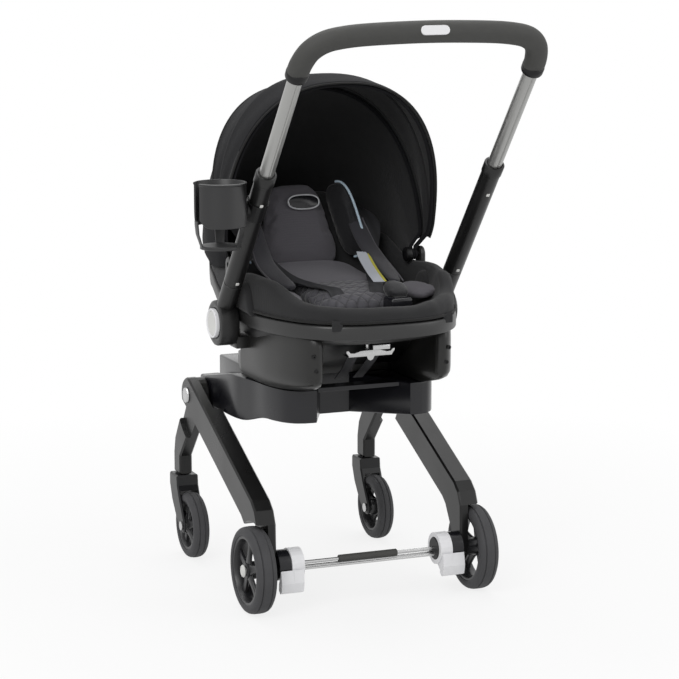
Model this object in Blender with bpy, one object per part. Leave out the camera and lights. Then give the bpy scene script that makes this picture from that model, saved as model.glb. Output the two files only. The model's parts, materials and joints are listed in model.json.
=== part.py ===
"""Car seat stroller: an infant carrier with its own folding legs, wheels and handle.

Metres, +Z up. X is across, +Y is the way it travels and the parent stands at -Y.
Shapes are written about the centre plane, midway between the axles, and DATUM then moves them
so that the origin is on the ground in the middle of the object's box.
Left and right pieces are made by one function for side -1 and side +1.
"""
import math

import bmesh
import bpy
from mathutils import Matrix, Vector

SIDES = ((-1, "left"), (1, "right"))

# Clearances
FIT = 0.0003            # between two pieces that touch
RUN = 0.0010            # between two pieces that move past each other

# The box reaches further left, by the cup holder, and further back, by the handle
DATUM = Vector((0.0429, 0.0885, 0.0))

# Chassis tray
TRAY_TOP, TRAY_BOTTOM = 0.377, 0.320
TRAY_HALF = 0.1715
SHOULDER_Y = 0.012                      # behind it the tray's sides fall away
ARM_BOTTOM = 0.275
MOUTH_FRONT_Y, MOUTH_BACK_Y = -0.187, -0.053
MOUTH_FRONT_HALF, MOUTH_BACK_HALF = 0.087, 0.0275
PLATE_BACK_Y, PLATE_FRONT_Y = -0.165, -0.135

# Legs and their pivot
LEG_PIVOT_Y, LEG_PIVOT_Z = 0.1475, 0.315
LEG_IN = TRAY_HALF + 0.0005             # inner face of a rear leg
LEG_OUT = LEG_IN + 0.0355               # its outer face
LEG_SLOPE = math.radians(25.2)          # rear leg below level
LEG_TOP, LEG_UNDER = 0.0317, 0.0247     # rear leg's edges above and below its pivot, square to it
LAP_RADIUS = 0.095                      # the two legs are half thick inside this radius
LAP_X = LEG_IN + 0.0168                 # face between the lapped legs
HUB_RADIUS = 0.032
BOLT_RADIUS = 0.009
FRONT_LEG_OUT = LEG_IN + 0.0250
FRONT_KNEE_Y, FRONT_KNEE_Z = 0.240, 0.190
FRONT_LEG_WIDTH = 0.050
STEM_FOOT_Z = 0.150
STEM_DEPTH = 0.034

# Wheels
REAR_RADIUS, REAR_WIDTH = 0.075, 0.036
REAR_X, REAR_Y = LEG_OUT - 0.0010, -0.1937
FRONT_RADIUS, FRONT_WIDTH = 0.0605, 0.030
FRONT_X, FRONT_Y = LEG_IN + 0.0120, 0.1914
SWIVEL_Y = 0.240
TYRE_DEPTH = 0.0165
AXLE_RADIUS = 0.006
SPOKES = 5
TYRE_STEPS, RIM_STEPS = 24, 16

# Brake
BRAKE_Y, BRAKE_Z = -0.204, 0.082
BARREL_RADIUS = 0.0265
BARREL_IN = LEG_IN - 0.022
PEDAL_IN = BARREL_IN - 0.023
LINK_RADIUS = 0.0032
SLEEVE_RADIUS = 0.0065
SLEEVE_HALF = 0.0545

# Carrier
RIM_HALF, RIM_FRONT, RIM_BACK = 0.186, 0.313, 0.300
FRONT_POWER, BACK_POWER = 2.8, 2.0
LIP_DEPTH = 0.025
WALL = 0.006
LIP_OUT = 0.009         # the lip stands out this far over the wall under it
COVER_WALL = 0.004
COVER_EDGE_Y = -0.030
RIM_HEIGHTS = [(-0.12, 0.505), (0.0, 0.515), (0.1, 0.545), (0.2, 0.600), (0.3, 0.630)]
FLOOR_HEIGHTS = [(-0.19, 0.452), (-0.08, 0.395)]
WALL_DROPS = (0.0, 0.45, 0.88, 1.0)
TAPER, TAPER_POWER = 0.38, 1.6
PLAN_STEPS = 28
SKIRT_HALF = RIM_HALF - 0.018           # drawn in under the lip
SKIRT_TOP = 0.4794
LUG_FOOT, LUG_HALF = 0.438, 0.014       # the lugs that carry the handle's pins
SKIRT_FOOT = 0.405
RECESS_HALF = 0.103
SKIRT_PLAN = [(RECESS_HALF, -0.262), (RECESS_HALF + 0.011, -0.266), (RECESS_HALF + 0.024, -0.260),
              (RECESS_HALF + 0.037, -0.240), (RECESS_HALF + 0.048, -0.207), (SKIRT_HALF - 0.003, -0.120)]
SKIRT_FOOT_PLAN = [(RECESS_HALF, -0.186), (RECESS_HALF + 0.012, -0.184), (RECESS_HALF + 0.021, -0.179),
                   (RECESS_HALF + 0.034, -0.164), (RECESS_HALF + 0.043, -0.142), (RECESS_HALF + 0.050, -0.111)]
SKIRT_FOOT_HALF = RECESS_HALF + 0.057
BASE_BACK_Y, BASE_BACK_HALF = 0.150, 0.085
MOUNT_X = (RIM_HALF - 0.0095, RIM_HALF - 0.0005)        # ear for the canopy's pivot
SHROUD_X = (RIM_HALF - 0.0360, RIM_HALF - 0.0010)       # ear beside the handle's pivot
SHROUD_Y, SHROUD_Z = -0.092, 0.528

# Seat
ROLL_HEIGHTS = [(-0.31, 0.528), (-0.24, 0.536), (-0.16, 0.564), (-0.08, 0.567), (-0.03, 0.561), (0.03, 0.563),
                (0.12, 0.598), (0.20, 0.640), (0.30, 0.664)]
SEAT_HEIGHTS = [(-0.26, 0.512), (-0.10, 0.500), (0.02, 0.510), (0.09, 0.530), (0.17, 0.672), (0.24, 0.664)]
BACK_UP = (0.0, 0.316, 0.949)
WING_BASE = (0.0705, 0.1310, 0.6183)
WING_OUT, WING_UP = (0.461, -0.842, 0.281), (-0.200, 0.310, 0.930)
STRAP_PATH = [(0.112, 0.156, 0.640), (0.119, 0.130, 0.641), (0.131, 0.085, 0.626), (0.112, 0.035, 0.597),
              (0.074, -0.030, 0.567), (0.050, -0.100, 0.553), (0.038, -0.145, 0.548), (0.036, -0.165, 0.524)]
STRAP_HALF, STRAP_THICK = 0.013, 0.0028
BUCKLE_LOW, BUCKLE_HIGH = (0.030, -0.236, 0.5080), (0.070, -0.196, 0.5340)
BUCKLE_BUTTON = (0.011, 0.008)          # half its size across and along
BUCKLE_TRAVEL = 0.003

# Handle
HANDLE_Y, HANDLE_Z = -0.050, 0.480
HANDLE_LEAN = math.radians(39.0)
TUBE_RADIUS = 0.0165
TUBE_X = RIM_HALF + 0.0035 + TUBE_RADIUS
TUBE_OUT = TUBE_X + TUBE_RADIUS
TUBE_BORE = 0.0135
INNER_RADIUS = 0.0125
COLLAR_Y, COLLAR_Z = -0.259, 0.7525
GRIP_START = 0.225
GRIP_PATH = [(0.0, 0.3122), (TUBE_X - 0.106, 0.3092), (TUBE_X - 0.056, 0.3035), (TUBE_X - 0.028, 0.2940),
             (TUBE_X - 0.010, 0.2760), (TUBE_X - 0.0015, 0.2500), (TUBE_X, GRIP_START)]
GRIP_WIDE, GRIP_DEEP = 0.0185, 0.0160
HUB_JOINT_S = -0.250
HUB_DISC = 0.0395
HANDLE_PIN, HANDLE_PIN_END = 0.010, TUBE_X + 0.0050
BUTTON_RADIUS = 0.0255

# Canopy
CANOPY_Y, CANOPY_Z = -0.0167, 0.575
CANOPY_HALF = RIM_HALF + 0.014
CANOPY_RISE = 0.3243
CANOPY_BELLY = 0.0629
CANOPY_POWER = 2.414
CANOPY_TUCK = 4.52
FRONT_EDGE, FRONT_SEAM, MID_SEAM, REAR_EDGE = (math.radians(a) for a in (-13.67, 4.0, 21.63, 73.35))
SHEET = 0.0025
KNOB_SHAFT = 0.0045
FRONT_EYE_X, MID_EYE_X = RIM_HALF - 0.0165, RIM_HALF - 0.0225

# Cup holder
CUP_X, CUP_Y, CUP_Z = -TUBE_X - 0.066, -0.225, 0.635
CUP_RADIUS = 0.043
CUP_WALL = 0.003
CUP_BAND_LOW, CUP_BAND_TOP = 0.672, 0.745
CUP_PIN_S = -0.070


def clear_scene():
    """Empty the scene, keeping the file that this text is in."""
    for old in list(bpy.data.objects):
        bpy.data.objects.remove(old, do_unlink=True)


FINISHES = {
    "frame_plastic": ((0.036, 0.036, 0.040), 0.38, 0.0),
    "shell_plastic": ((0.022, 0.022, 0.024), 0.45, 0.0),
    "grey_plastic": ((0.40, 0.40, 0.37), 0.50, 0.0),
    "white_plastic": ((0.80, 0.80, 0.82), 0.35, 0.0),
    "tyre_rubber": ((0.035, 0.035, 0.037), 0.75, 0.0),
    "black_tube": ((0.020, 0.020, 0.021), 0.35, 0.3),
    "silver_tube": ((0.42, 0.42, 0.41), 0.30, 0.9),
    "steel": ((0.55, 0.55, 0.55), 0.25, 1.0),
    "grip_foam": ((0.035, 0.035, 0.034), 0.80, 0.0),
    "black_fabric": ((0.024, 0.024, 0.025), 0.90, 0.0),
    "grey_fabric": ((0.105, 0.100, 0.107), 0.90, 0.0),
    "webbing": ((0.030, 0.030, 0.032), 0.80, 0.0),
}


def finish(name):
    """One Principled material for each finish, made the first time it is asked for."""
    ready = bpy.data.materials.get(name)
    if ready:
        return ready
    colour, roughness, metallic = FINISHES[name]
    new = bpy.data.materials.new(name)
    new.use_nodes = True
    shader = new.node_tree.nodes["Principled BSDF"]
    shader.inputs["Base Color"].default_value = (*colour, 1.0)
    shader.inputs["Roughness"].default_value = roughness
    shader.inputs["Metallic"].default_value = metallic
    return new


def pivot(name, place, parent=None):
    """An empty on a joint's axis, which carries the pieces of one moving body."""
    empty = bpy.data.objects.new(name, None)
    bpy.context.collection.objects.link(empty)
    empty.location = Vector(place) + DATUM - origin_of(parent)
    empty.parent = parent
    return empty


def origin_of(empty):
    """World place of a pivot, which is never turned, or the world's own origin for None."""
    place = Vector()
    while empty:
        place += empty.location
        empty = empty.parent
    return place


def put(name, mesh_edit, body):
    """Turn a bmesh written about the centre plane into an object under its body's pivot."""
    bmesh.ops.translate(mesh_edit, verts=mesh_edit.verts, vec=DATUM - origin_of(body))
    bmesh.ops.recalc_face_normals(mesh_edit, faces=mesh_edit.faces)
    mesh = bpy.data.meshes.new(name)
    mesh_edit.to_mesh(mesh)
    mesh_edit.free()
    made = bpy.data.objects.new(name, mesh)
    bpy.context.collection.objects.link(made)
    made.parent = body
    return made


def piece(name, mesh_edit, finish_name, body=None, join=(), cut=()):
    """A sub-part: its own closed shape, with shapes joined to it and then cut from it."""
    made = put(name, mesh_edit, body)
    made.data.materials.append(finish(finish_name))
    made.data.shade_smooth()
    made.data.set_sharp_from_angle(angle=math.radians(35))
    for operation, shapes in (("UNION", join), ("DIFFERENCE", cut)):
        for number, shape in enumerate(shapes):
            tool = put(f"{name}_{operation.lower()}_{number}", shape, body)
            tool.hide_render = True
            tool.display_type = "WIRE"
            edit = made.modifiers.new(tool.name, "BOOLEAN")
            edit.operation = operation
            edit.object = tool
    return made


def slant(point):
    """Measure of a point that falls fastest from the top front of a face to its bottom back."""
    return point[2] - 0.5 * point[1]


def loft(rings, closed=False, split=False):
    """Skin a list of rings with equal counts; both ends are capped unless it is closed.

    split cuts every face from its top front to its bottom back, so that two warped skins agree.
    """
    mesh_edit = bmesh.new()
    loops = [[mesh_edit.verts.new(point) for point in ring] for ring in rings]
    count = len(loops[0])
    pairs = list(zip(loops, loops[1:])) + ([(loops[-1], loops[0])] if closed else [])
    for low, high in pairs:
        for here in range(count):
            there = (here + 1) % count
            corners = [low[here], low[there], high[there], high[here]]
            if split:
                falls = [abs(slant(corners[k].co) - slant(corners[k + 2].co)) for k in (0, 1)]
                a, b, c, d = corners if falls[0] > falls[1] else corners[1:] + corners[:1]
                mesh_edit.faces.new((a, b, c))
                mesh_edit.faces.new((a, c, d))
            else:
                mesh_edit.faces.new(corners)
    if not closed:
        mesh_edit.faces.new(list(reversed(loops[0])))
        mesh_edit.faces.new(loops[-1])
    return mesh_edit


def along(axis, first, second, depth):
    """Point with depth on the named axis and the other two coordinates in XYZ order."""
    order = {"X": (depth, first, second), "Y": (first, depth, second), "Z": (first, second, depth)}
    return order[axis]


def slab(axis, outline, low, high, bevel=0.0):
    """An outline pushed along an axis from low to high, with softened edges."""
    rings = [[along(axis, a, b, depth) for a, b in outline] for depth in (low, high)]
    mesh_edit = loft(rings)
    if bevel:
        bmesh.ops.recalc_face_normals(mesh_edit, faces=mesh_edit.faces)
        caps = [face for face in mesh_edit.faces if len(face.verts) == len(outline)]
        edges = list({edge for face in caps for edge in face.edges})
        bmesh.ops.bevel(mesh_edit, geom=edges, offset=bevel, segments=1, profile=0.5,
                        affect="EDGES", clamp_overlap=True)
    return mesh_edit


def box(low, high, bevel=0.0, segments=1):
    """A box between two corners, with all its edges softened."""
    mesh_edit = bmesh.new()
    bmesh.ops.create_cube(mesh_edit, size=1.0)
    size = [b - a for a, b in zip(low, high)]
    bmesh.ops.scale(mesh_edit, vec=size, verts=mesh_edit.verts)
    bmesh.ops.translate(mesh_edit, vec=[(a + b) / 2 for a, b in zip(low, high)], verts=mesh_edit.verts)
    if bevel:
        bmesh.ops.bevel(mesh_edit, geom=mesh_edit.edges[:], offset=bevel, segments=segments,
                        profile=0.5, affect="EDGES", clamp_overlap=True)
    return mesh_edit


def turned(axis, centre, profile, steps):
    """A closed profile of (depth, radius) points spun right round an axis."""
    rings = []
    for step in range(steps):
        turn = 2 * math.pi * step / steps
        rings.append([along(axis, centre[0] + r * math.cos(turn), centre[1] + r * math.sin(turn), d)
                      for d, r in profile])
    return loft(rings, closed=True)


def disc(axis, centre, radius, low, high, steps=24, bevel=0.0):
    """A short or long cylinder along an axis, with an optional chamfer at both ends."""
    radii = [(low, radius)] if not bevel else [(low, radius - bevel), (low + bevel, radius)]
    radii += [(high, radius)] if not bevel else [(high - bevel, radius), (high, radius - bevel)]
    return loft([[along(axis, centre[0] + r * math.cos(2 * math.pi * k / steps),
                        centre[1] + r * math.sin(2 * math.pi * k / steps), d)
                  for k in range(steps)] for d, r in radii])


def arc(centre, radius, start, stop, steps):
    """Points of an arc in degrees, both ends included."""
    turns = [math.radians(start + (stop - start) * k / steps) for k in range(steps + 1)]
    return [(centre[0] + radius * math.cos(t), centre[1] + radius * math.sin(t)) for t in turns]


def swept(path, across, radii, steps=16):
    """Ellipse sections carried along a path; across is a direction that stays in every section."""
    rings = []
    across = Vector(across)
    for number, place in enumerate(path):
        ahead = Vector(path[min(number + 1, len(path) - 1)]) - Vector(path[max(number - 1, 0)])
        ahead.normalize()
        first = across - ahead * across.dot(ahead)
        first.normalize()
        second = ahead.cross(first)
        wide, deep = radii[number] if isinstance(radii, list) else radii
        rings.append([Vector(place) + first * wide * math.cos(2 * math.pi * k / steps)
                      + second * deep * math.sin(2 * math.pi * k / steps) for k in range(steps)])
    return loft(rings)


def smooth_path(points, steps):
    """Points along a Catmull-Rom curve through the given ones."""
    points = [Vector(p) for p in points]
    ends = [points[0] * 2 - points[1]] + points + [points[-1] * 2 - points[-2]]
    path = []
    for number in range(1, len(ends) - 2):
        a, b, c, d = ends[number - 1:number + 3]
        for step in range(steps):
            t = step / steps
            path.append(0.5 * (2 * b + (c - a) * t + (2 * a - 5 * b + 4 * c - d) * t * t
                               + (3 * b - a - 3 * c + d) * t ** 3))
    return path + [points[-1]]


def between(table, value):
    """Height read from a table of (place, height) pairs, eased from one to the next."""
    if value <= table[0][0]:
        return table[0][1]
    for (a, low), (b, high) in zip(table, table[1:]):
        if value <= b:
            t = (value - a) / (b - a)
            return low + (high - low) * t * t * (3 - 2 * t)
    return table[-1][1]


def mirrored(half):
    """Both halves of an outline given for x > 0, in one loop."""
    return list(half) + [(-x, y) for x, y in reversed(half) if x]


def leg_point(reach, rise):
    """Point in YZ at a distance down the rear leg from its pivot and square to the leg."""
    return (LEG_PIVOT_Y - reach * math.cos(LEG_SLOPE) - rise * math.sin(LEG_SLOPE),
            LEG_PIVOT_Z - reach * math.sin(LEG_SLOPE) + rise * math.cos(LEG_SLOPE))


def rear_leg_outline():
    """Side view of a rear leg: hub, blade, knee and the neck down to its axle boss."""
    lean = math.degrees(LEG_SLOPE)
    hub = arc((LEG_PIVOT_Y, LEG_PIVOT_Z), HUB_RADIUS, 90 + lean, -52 + lean, 8)
    boss = arc((REAR_Y, REAR_RADIUS), 0.021, 0, -180, 8)
    boss = boss[::-1]
    knee = [leg_point(0.352, LEG_TOP), leg_point(0.374, LEG_TOP - 0.006), leg_point(0.394, LEG_TOP - 0.022)]
    shin = [(REAR_Y - 0.0208, REAR_RADIUS + 0.040)]
    blade_end = [leg_point(0.323, -LEG_UNDER), leg_point(0.340, -LEG_UNDER - 0.004)]
    return hub[::-1] + knee + shin + boss + [(REAR_Y + 0.021, REAR_RADIUS + 0.030)] + blade_end[::-1] \
        + [leg_point(0.028, -LEG_UNDER)]


def front_leg_outline():
    """Side view of a front leg: hub, blade and the upright stem over its caster."""
    drop = math.atan2(LEG_PIVOT_Z - FRONT_KNEE_Z, FRONT_KNEE_Y - LEG_PIVOT_Y)
    half = FRONT_LEG_WIDTH / 2
    side = (half * math.sin(drop), half * math.cos(drop))
    hub = arc((LEG_PIVOT_Y, LEG_PIVOT_Z), HUB_RADIUS - 0.001, 220, 40, 10)
    return hub + [
        (FRONT_KNEE_Y + side[0] - 0.010, FRONT_KNEE_Z + side[1] + 0.012),
        (SWIVEL_Y + STEM_DEPTH / 2, FRONT_KNEE_Z - 0.002),
        (SWIVEL_Y + STEM_DEPTH / 2, STEM_FOOT_Z),
        (SWIVEL_Y - STEM_DEPTH / 2, STEM_FOOT_Z),
        (SWIVEL_Y - STEM_DEPTH / 2, FRONT_KNEE_Z - 0.006),
    ]


def make_legs(side, name, rear_body, front_body):
    """A rear leg and a front leg, lapped at their pivot, and the bolt that carries both."""
    hub = (LEG_PIVOT_Y, LEG_PIVOT_Z)
    reach = BOLT_RADIUS + 2 * FIT
    piece(f"rear_leg_{name}",
          slab("X", rear_leg_outline(), side * LEG_IN, side * LEG_OUT, bevel=0.003), "frame_plastic", rear_body,
          cut=[disc("X", hub, LAP_RADIUS, side * (LEG_IN - 0.004), side * (LAP_X + FIT), 40),
               disc("X", (REAR_Y, REAR_RADIUS), REAR_RADIUS + 0.009, side * (REAR_X - REAR_WIDTH / 2 - 0.0015),
                    side * (LEG_OUT + 0.004), 40),
               disc("X", hub, reach, side * (LEG_IN - 0.01), side * (LEG_OUT + 0.01), 20),
               disc("X", (REAR_Y, REAR_RADIUS), AXLE_RADIUS + FIT, side * (LEG_IN - 0.01),
                    side * (LEG_OUT + 0.01), 16)])
    stem = (side * FRONT_X, SWIVEL_Y)
    piece(f"front_leg_{name}",
          slab("X", front_leg_outline(), side * (LEG_IN + 0.0005), side * FRONT_LEG_OUT, bevel=0.003),
          "frame_plastic", front_body,
          cut=[disc("X", hub, LAP_RADIUS + 0.0005, side * LAP_X, side * (FRONT_LEG_OUT + 0.004), 40),
               disc("X", hub, reach, side * (LEG_IN - 0.01), side * (FRONT_LEG_OUT + 0.01), 20),
               disc("Z", stem, 0.005 + FIT, STEM_FOOT_Z - 0.01, STEM_FOOT_Z + 0.030, 16)])
    bolt = [(LEG_IN - 0.034, 0.0005), (LEG_IN - 0.034, BOLT_RADIUS), (LEG_OUT + 0.0006, BOLT_RADIUS),
            (LEG_OUT + 0.0006, 0.0145),
            (LEG_OUT + 0.0036, 0.0135), (LEG_OUT + 0.0045, 0.0110), (LEG_OUT + 0.0040, 0.0100),
            (LEG_OUT + 0.0040, 0.0005)]
    head = [(side * d, r) for d, r in bolt]
    piece(f"leg_pivot_bolt_{name}", solid_turned("X", hub, head, 16), "steel")


def solid_turned(axis, centre, profile, steps):
    """A turned shape whose profile starts and ends on the axis, capped at both ends."""
    inner = profile[1:-1]
    return loft([[along(axis, centre[0] + r * math.cos(2 * math.pi * k / steps),
                        centre[1] + r * math.sin(2 * math.pi * k / steps), d)
                  for k in range(steps)] for d, r in inner])


def tyre(x, y, radius, width):
    """A tyre: a round-shouldered ring."""
    half, inner = width / 2, radius - TYRE_DEPTH
    profile = [(-half + 0.002, inner), (half - 0.002, inner), (half, radius - 0.010),
               (half - 0.005, radius - 0.002), (half - 0.012, radius), (-half + 0.012, radius),
               (-half + 0.005, radius - 0.002), (-half, radius - 0.010)]
    return turned("X", (y, radius), [(x + d, r) for d, r in profile], TYRE_STEPS)


def rim(x, y, radius, width, side, bore):
    """A moulded wheel: barrel, hub and a web; its windows are cut afterwards."""
    half, outer = width / 2 - 0.002, (radius - TYRE_DEPTH) * math.cos(math.pi / TYRE_STEPS) - FIT
    inner, hub = outer - 0.006, 0.013
    profile = [(-half, bore), (half, bore), (half, hub), (0.009, hub + 0.002), (0.008, inner),
               (half, inner + 0.001), (half, outer), (-half, outer), (-half, inner + 0.001),
               (0.0, inner), (0.0, hub + 0.002), (-half, hub)]
    return turned("X", (y, radius), [(x + side * d, r) for d, r in profile], RIM_STEPS)


def rim_windows(x, y, radius):
    """The openings between the spokes."""
    low, high = 0.0195, radius - TYRE_DEPTH - FIT - 0.0075
    windows = []
    for spoke in range(SPOKES):
        middle = 90 + 360 / SPOKES * (spoke + 0.5)
        near, far = 36 - math.degrees(0.0050 / low), 36 - math.degrees(0.0042 / high)
        outline = arc((y, radius), low, middle - near, middle + near, 1) \
            + arc((y, radius), high, middle + far, middle - far, 3)
        windows.append(slab("X", outline, x - 0.004, x + 0.014) if x > 0 else
                       slab("X", outline, x - 0.014, x + 0.004))
    return windows


def make_rear_wheel(side, name, wheel_body, leg_body):
    """A fixed rear wheel with its axle pin and cap."""
    x = side * REAR_X
    piece(f"rear_tyre_{name}", tyre(x, REAR_Y, REAR_RADIUS, REAR_WIDTH), "tyre_rubber", wheel_body)
    piece(f"rear_rim_{name}", rim(x, REAR_Y, REAR_RADIUS, REAR_WIDTH, side, AXLE_RADIUS + FIT), "shell_plastic",
          wheel_body, cut=rim_windows(x, REAR_Y, REAR_RADIUS))
    outer = REAR_X + REAR_WIDTH / 2
    axle = [(LEG_IN + 0.001, 0.0), (LEG_IN + 0.001, AXLE_RADIUS), (outer + 0.0004, AXLE_RADIUS),
            (outer + 0.0004, 0.0105), (outer + 0.0030, 0.0100), (outer + 0.0042, 0.0060), (outer + 0.0042, 0.0)]
    piece(f"rear_axle_{name}", solid_turned("X", (REAR_Y, REAR_RADIUS), [(side * d, r) for d, r in axle], 12),
          "grey_plastic", leg_body)


def fork_outline():
    """Side view of a caster fork: crown under the stem, arms back to the axle."""
    boss = arc((FRONT_Y, FRONT_RADIUS), 0.0135, 140, 320, 8)
    return boss + [(0.222, 0.066), (0.248, 0.100), (0.2600, 0.128), (0.2600, STEM_FOOT_Z - RUN),
                   (0.2180, STEM_FOOT_Z - RUN), (0.2160, 0.130), (0.205, 0.108)]


def make_caster(side, name, fork_body, wheel_body):
    """A swivelling fork with its pin, and the small wheel between its arms."""
    x = side * FRONT_X
    axle = (FRONT_Y, FRONT_RADIUS)
    piece(f"caster_fork_{name}", slab("X", fork_outline(), x - 0.021, x + 0.021, bevel=0.0025), "frame_plastic",
          fork_body, join=[disc("Z", (x, SWIVEL_Y), 0.005, STEM_FOOT_Z - 0.006, STEM_FOOT_Z + 0.029, 16)],
          cut=[disc("X", axle, FRONT_RADIUS + 0.003, x - FRONT_WIDTH / 2 - 0.0015, x + FRONT_WIDTH / 2 + 0.0015, 36),
               disc("X", axle, 0.005 + FIT, x - 0.03, x + 0.03, 16)])
    piece(f"front_tyre_{name}", tyre(x, FRONT_Y, FRONT_RADIUS, FRONT_WIDTH), "tyre_rubber", wheel_body)
    piece(f"front_rim_{name}", rim(x, FRONT_Y, FRONT_RADIUS, FRONT_WIDTH, side, 0.005 + FIT), "shell_plastic",
          wheel_body, cut=rim_windows(x, FRONT_Y, FRONT_RADIUS))
    pin = [(-0.0240, 0.0085), (-0.0213, 0.0085), (-0.0213, 0.005), (0.0213, 0.005), (0.0213, 0.0085),
           (0.0240, 0.0085)]
    piece(f"front_axle_{name}", solid_turned("X", axle, [(0, 0)] + [(x + d, r) for d, r in pin] + [(0, 0)], 12),
          "steel", fork_body)


def make_brake(side, name, leg_body, pedal_body):
    """The black barrel on the leg's neck and the white foot pedal that turns on it."""
    axis = (BRAKE_Y, BRAKE_Z)
    piece(f"brake_housing_{name}", disc("X", axis, BARREL_RADIUS, side * BARREL_IN, side * (LEG_IN - FIT), 24),
          "black_tube", leg_body,
          cut=[disc("X", axis, 0.006 + FIT, side * (BARREL_IN - 0.01), side * (BARREL_IN + 0.012), 16)])
    low, high = PEDAL_IN, BARREL_IN - FIT
    ring = disc("X", axis, BARREL_RADIUS + 0.0015, side * low, side * high, 24)
    foot = [(BRAKE_Y - 0.0285, BRAKE_Z - 0.004), (BRAKE_Y - 0.0330, BRAKE_Z - 0.026),
            (BRAKE_Y - 0.0300, BRAKE_Z - 0.042), (BRAKE_Y - 0.0240, BRAKE_Z - 0.045),
            (BRAKE_Y - 0.0170, BRAKE_Z - 0.040), (BRAKE_Y - 0.0175, BRAKE_Z - 0.0285),
            (BRAKE_Y - 0.0230, BRAKE_Z - 0.0175), (BRAKE_Y - 0.0285, BRAKE_Z - 0.0040)][:-1]
    neck = [(BRAKE_Y - 0.030, BRAKE_Z - 0.004), (BRAKE_Y - 0.033, BRAKE_Z - 0.026),
            (BRAKE_Y - 0.018, BRAKE_Z - 0.036), (BRAKE_Y - 0.004, BRAKE_Z - 0.024)]
    piece(f"brake_pedal_{name}", ring, "white_plastic", pedal_body,
          join=[slab("X", foot, side * (PEDAL_IN + 0.003), side * (LEG_IN - 0.001)),
                slab("X", neck, side * (PEDAL_IN + 0.003), side * (BARREL_IN - 0.002)),
                disc("X", axis, 0.006, side * (high - 0.002), side * (BARREL_IN + 0.010), 16)])


def make_brake_link(pedal_body):
    """The rod that joins the two pedals, and the black sleeve on it."""
    axis = (BRAKE_Y, BRAKE_Z)
    end = PEDAL_IN - FIT
    profile = [(0, 0), (-end, 0.018), (-end + 0.003, 0.018), (-end + 0.0035, LINK_RADIUS),
               (end - 0.0035, LINK_RADIUS), (end - 0.003, 0.018), (end, 0.018), (0, 0)]
    piece("brake_link_rod", solid_turned("X", axis, profile, 12), "steel", pedal_body)
    sleeve = [(-SLEEVE_HALF, LINK_RADIUS + FIT), (SLEEVE_HALF, LINK_RADIUS + FIT), (SLEEVE_HALF, SLEEVE_RADIUS),
              (-SLEEVE_HALF, SLEEVE_RADIUS)]
    piece("rod_sleeve", turned("X", axis, sleeve, 12), "grip_foam", pedal_body)


def mouth_half(y):
    """Half-width of the tray's open mouth at a place along it."""
    share = (y - MOUTH_BACK_Y) / (MOUTH_FRONT_Y - MOUTH_BACK_Y)
    return MOUTH_BACK_HALF + (MOUTH_FRONT_HALF - MOUTH_BACK_HALF) * share


def make_chassis():
    """The tray under the carrier: two pods, the web behind its mouth, and the arms to the legs."""
    half = [(MOUTH_BACK_HALF, MOUTH_BACK_Y), (MOUTH_FRONT_HALF, MOUTH_FRONT_Y), (0.1085, -0.1865),
            (0.124, -0.180), (0.137, -0.165), (0.146, -0.142), (0.153, -0.111), (0.156, -0.071),
            (TRAY_HALF - 0.0065, -0.033), (TRAY_HALF, 0.001), (TRAY_HALF, 0.178), (TRAY_HALF - 0.0215, 0.195)]
    arm = TRAY_HALF - 0.0375
    arms = [box((min(s * arm, s * TRAY_HALF), LEG_PIVOT_Y - 0.032, ARM_BOTTOM),
                (max(s * arm, s * TRAY_HALF), LEG_PIVOT_Y + 0.030, TRAY_TOP - 0.030), 0.003) for s in (-1, 1)]
    pivot_axis = (LEG_PIVOT_Y, LEG_PIVOT_Z)
    bores = [disc("X", pivot_axis, BOLT_RADIUS + FIT, s * (arm - 0.014), s * (TRAY_HALF + 0.01), 20)
             for s in (-1, 1)]
    falls = [(SHOULDER_Y, TRAY_TOP), (0.205, TRAY_TOP - 0.039), (0.205, TRAY_TOP + 0.01),
             (SHOULDER_Y, TRAY_TOP + 0.01)]
    sides = [slab("X", falls, *sorted((s * (arm - 0.006), s * (TRAY_HALF + 0.01)))) for s in (-1, 1)]
    piece("chassis_frame", slab("Z", mirrored(half), TRAY_BOTTOM, TRAY_TOP, bevel=0.003), "frame_plastic",
          join=arms, cut=bores + sides)
    plate = mirrored([(mouth_half(y) - FIT * 2, y) for y in (PLATE_FRONT_Y, PLATE_BACK_Y)])
    piece("cross_plate", slab("Z", plate, TRAY_TOP - 0.0090, TRAY_TOP - 0.0015), "frame_plastic")


def plan(turn, inset):
    """Point of the carrier's rim outline, drawn in by an inset."""
    c, s = math.cos(turn), math.sin(turn)
    power, length = (FRONT_POWER, RIM_FRONT) if s < 0 else (BACK_POWER, RIM_BACK)
    return ((RIM_HALF - inset) * math.copysign(abs(c) ** (2 / power), c),
            (length - inset) * math.copysign(abs(s) ** (2 / power), s))


def plan_turns():
    """The angles at which every ring of the carrier has its points."""
    return [2 * math.pi * (k + 0.5) / PLAN_STEPS for k in range(PLAN_STEPS)]


def rim_ring(inset, lift, heights=RIM_HEIGHTS):
    """A ring that follows the rim, or another table of heights, at an inset and a lift."""
    ring = []
    for turn in plan_turns():
        x, y = plan(turn, inset)
        ring.append((x, y, between(heights, y) + lift))
    return ring


def wall_ring(inset, drop, floor_lift=0.0):
    """A ring of the bucket's wall: drop is 0 just under the lip and 1 at the floor."""
    scale = 1 - TAPER * drop ** TAPER_POWER
    ring = []
    for turn in plan_turns():
        x, y = plan(turn, inset)
        top = between(RIM_HEIGHTS, y) - LIP_DEPTH
        x, y = x * scale, y * scale
        foot = between(FLOOR_HEIGHTS, y) + floor_lift
        ring.append((x, y, top + (foot - top) * drop))
    return ring


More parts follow.
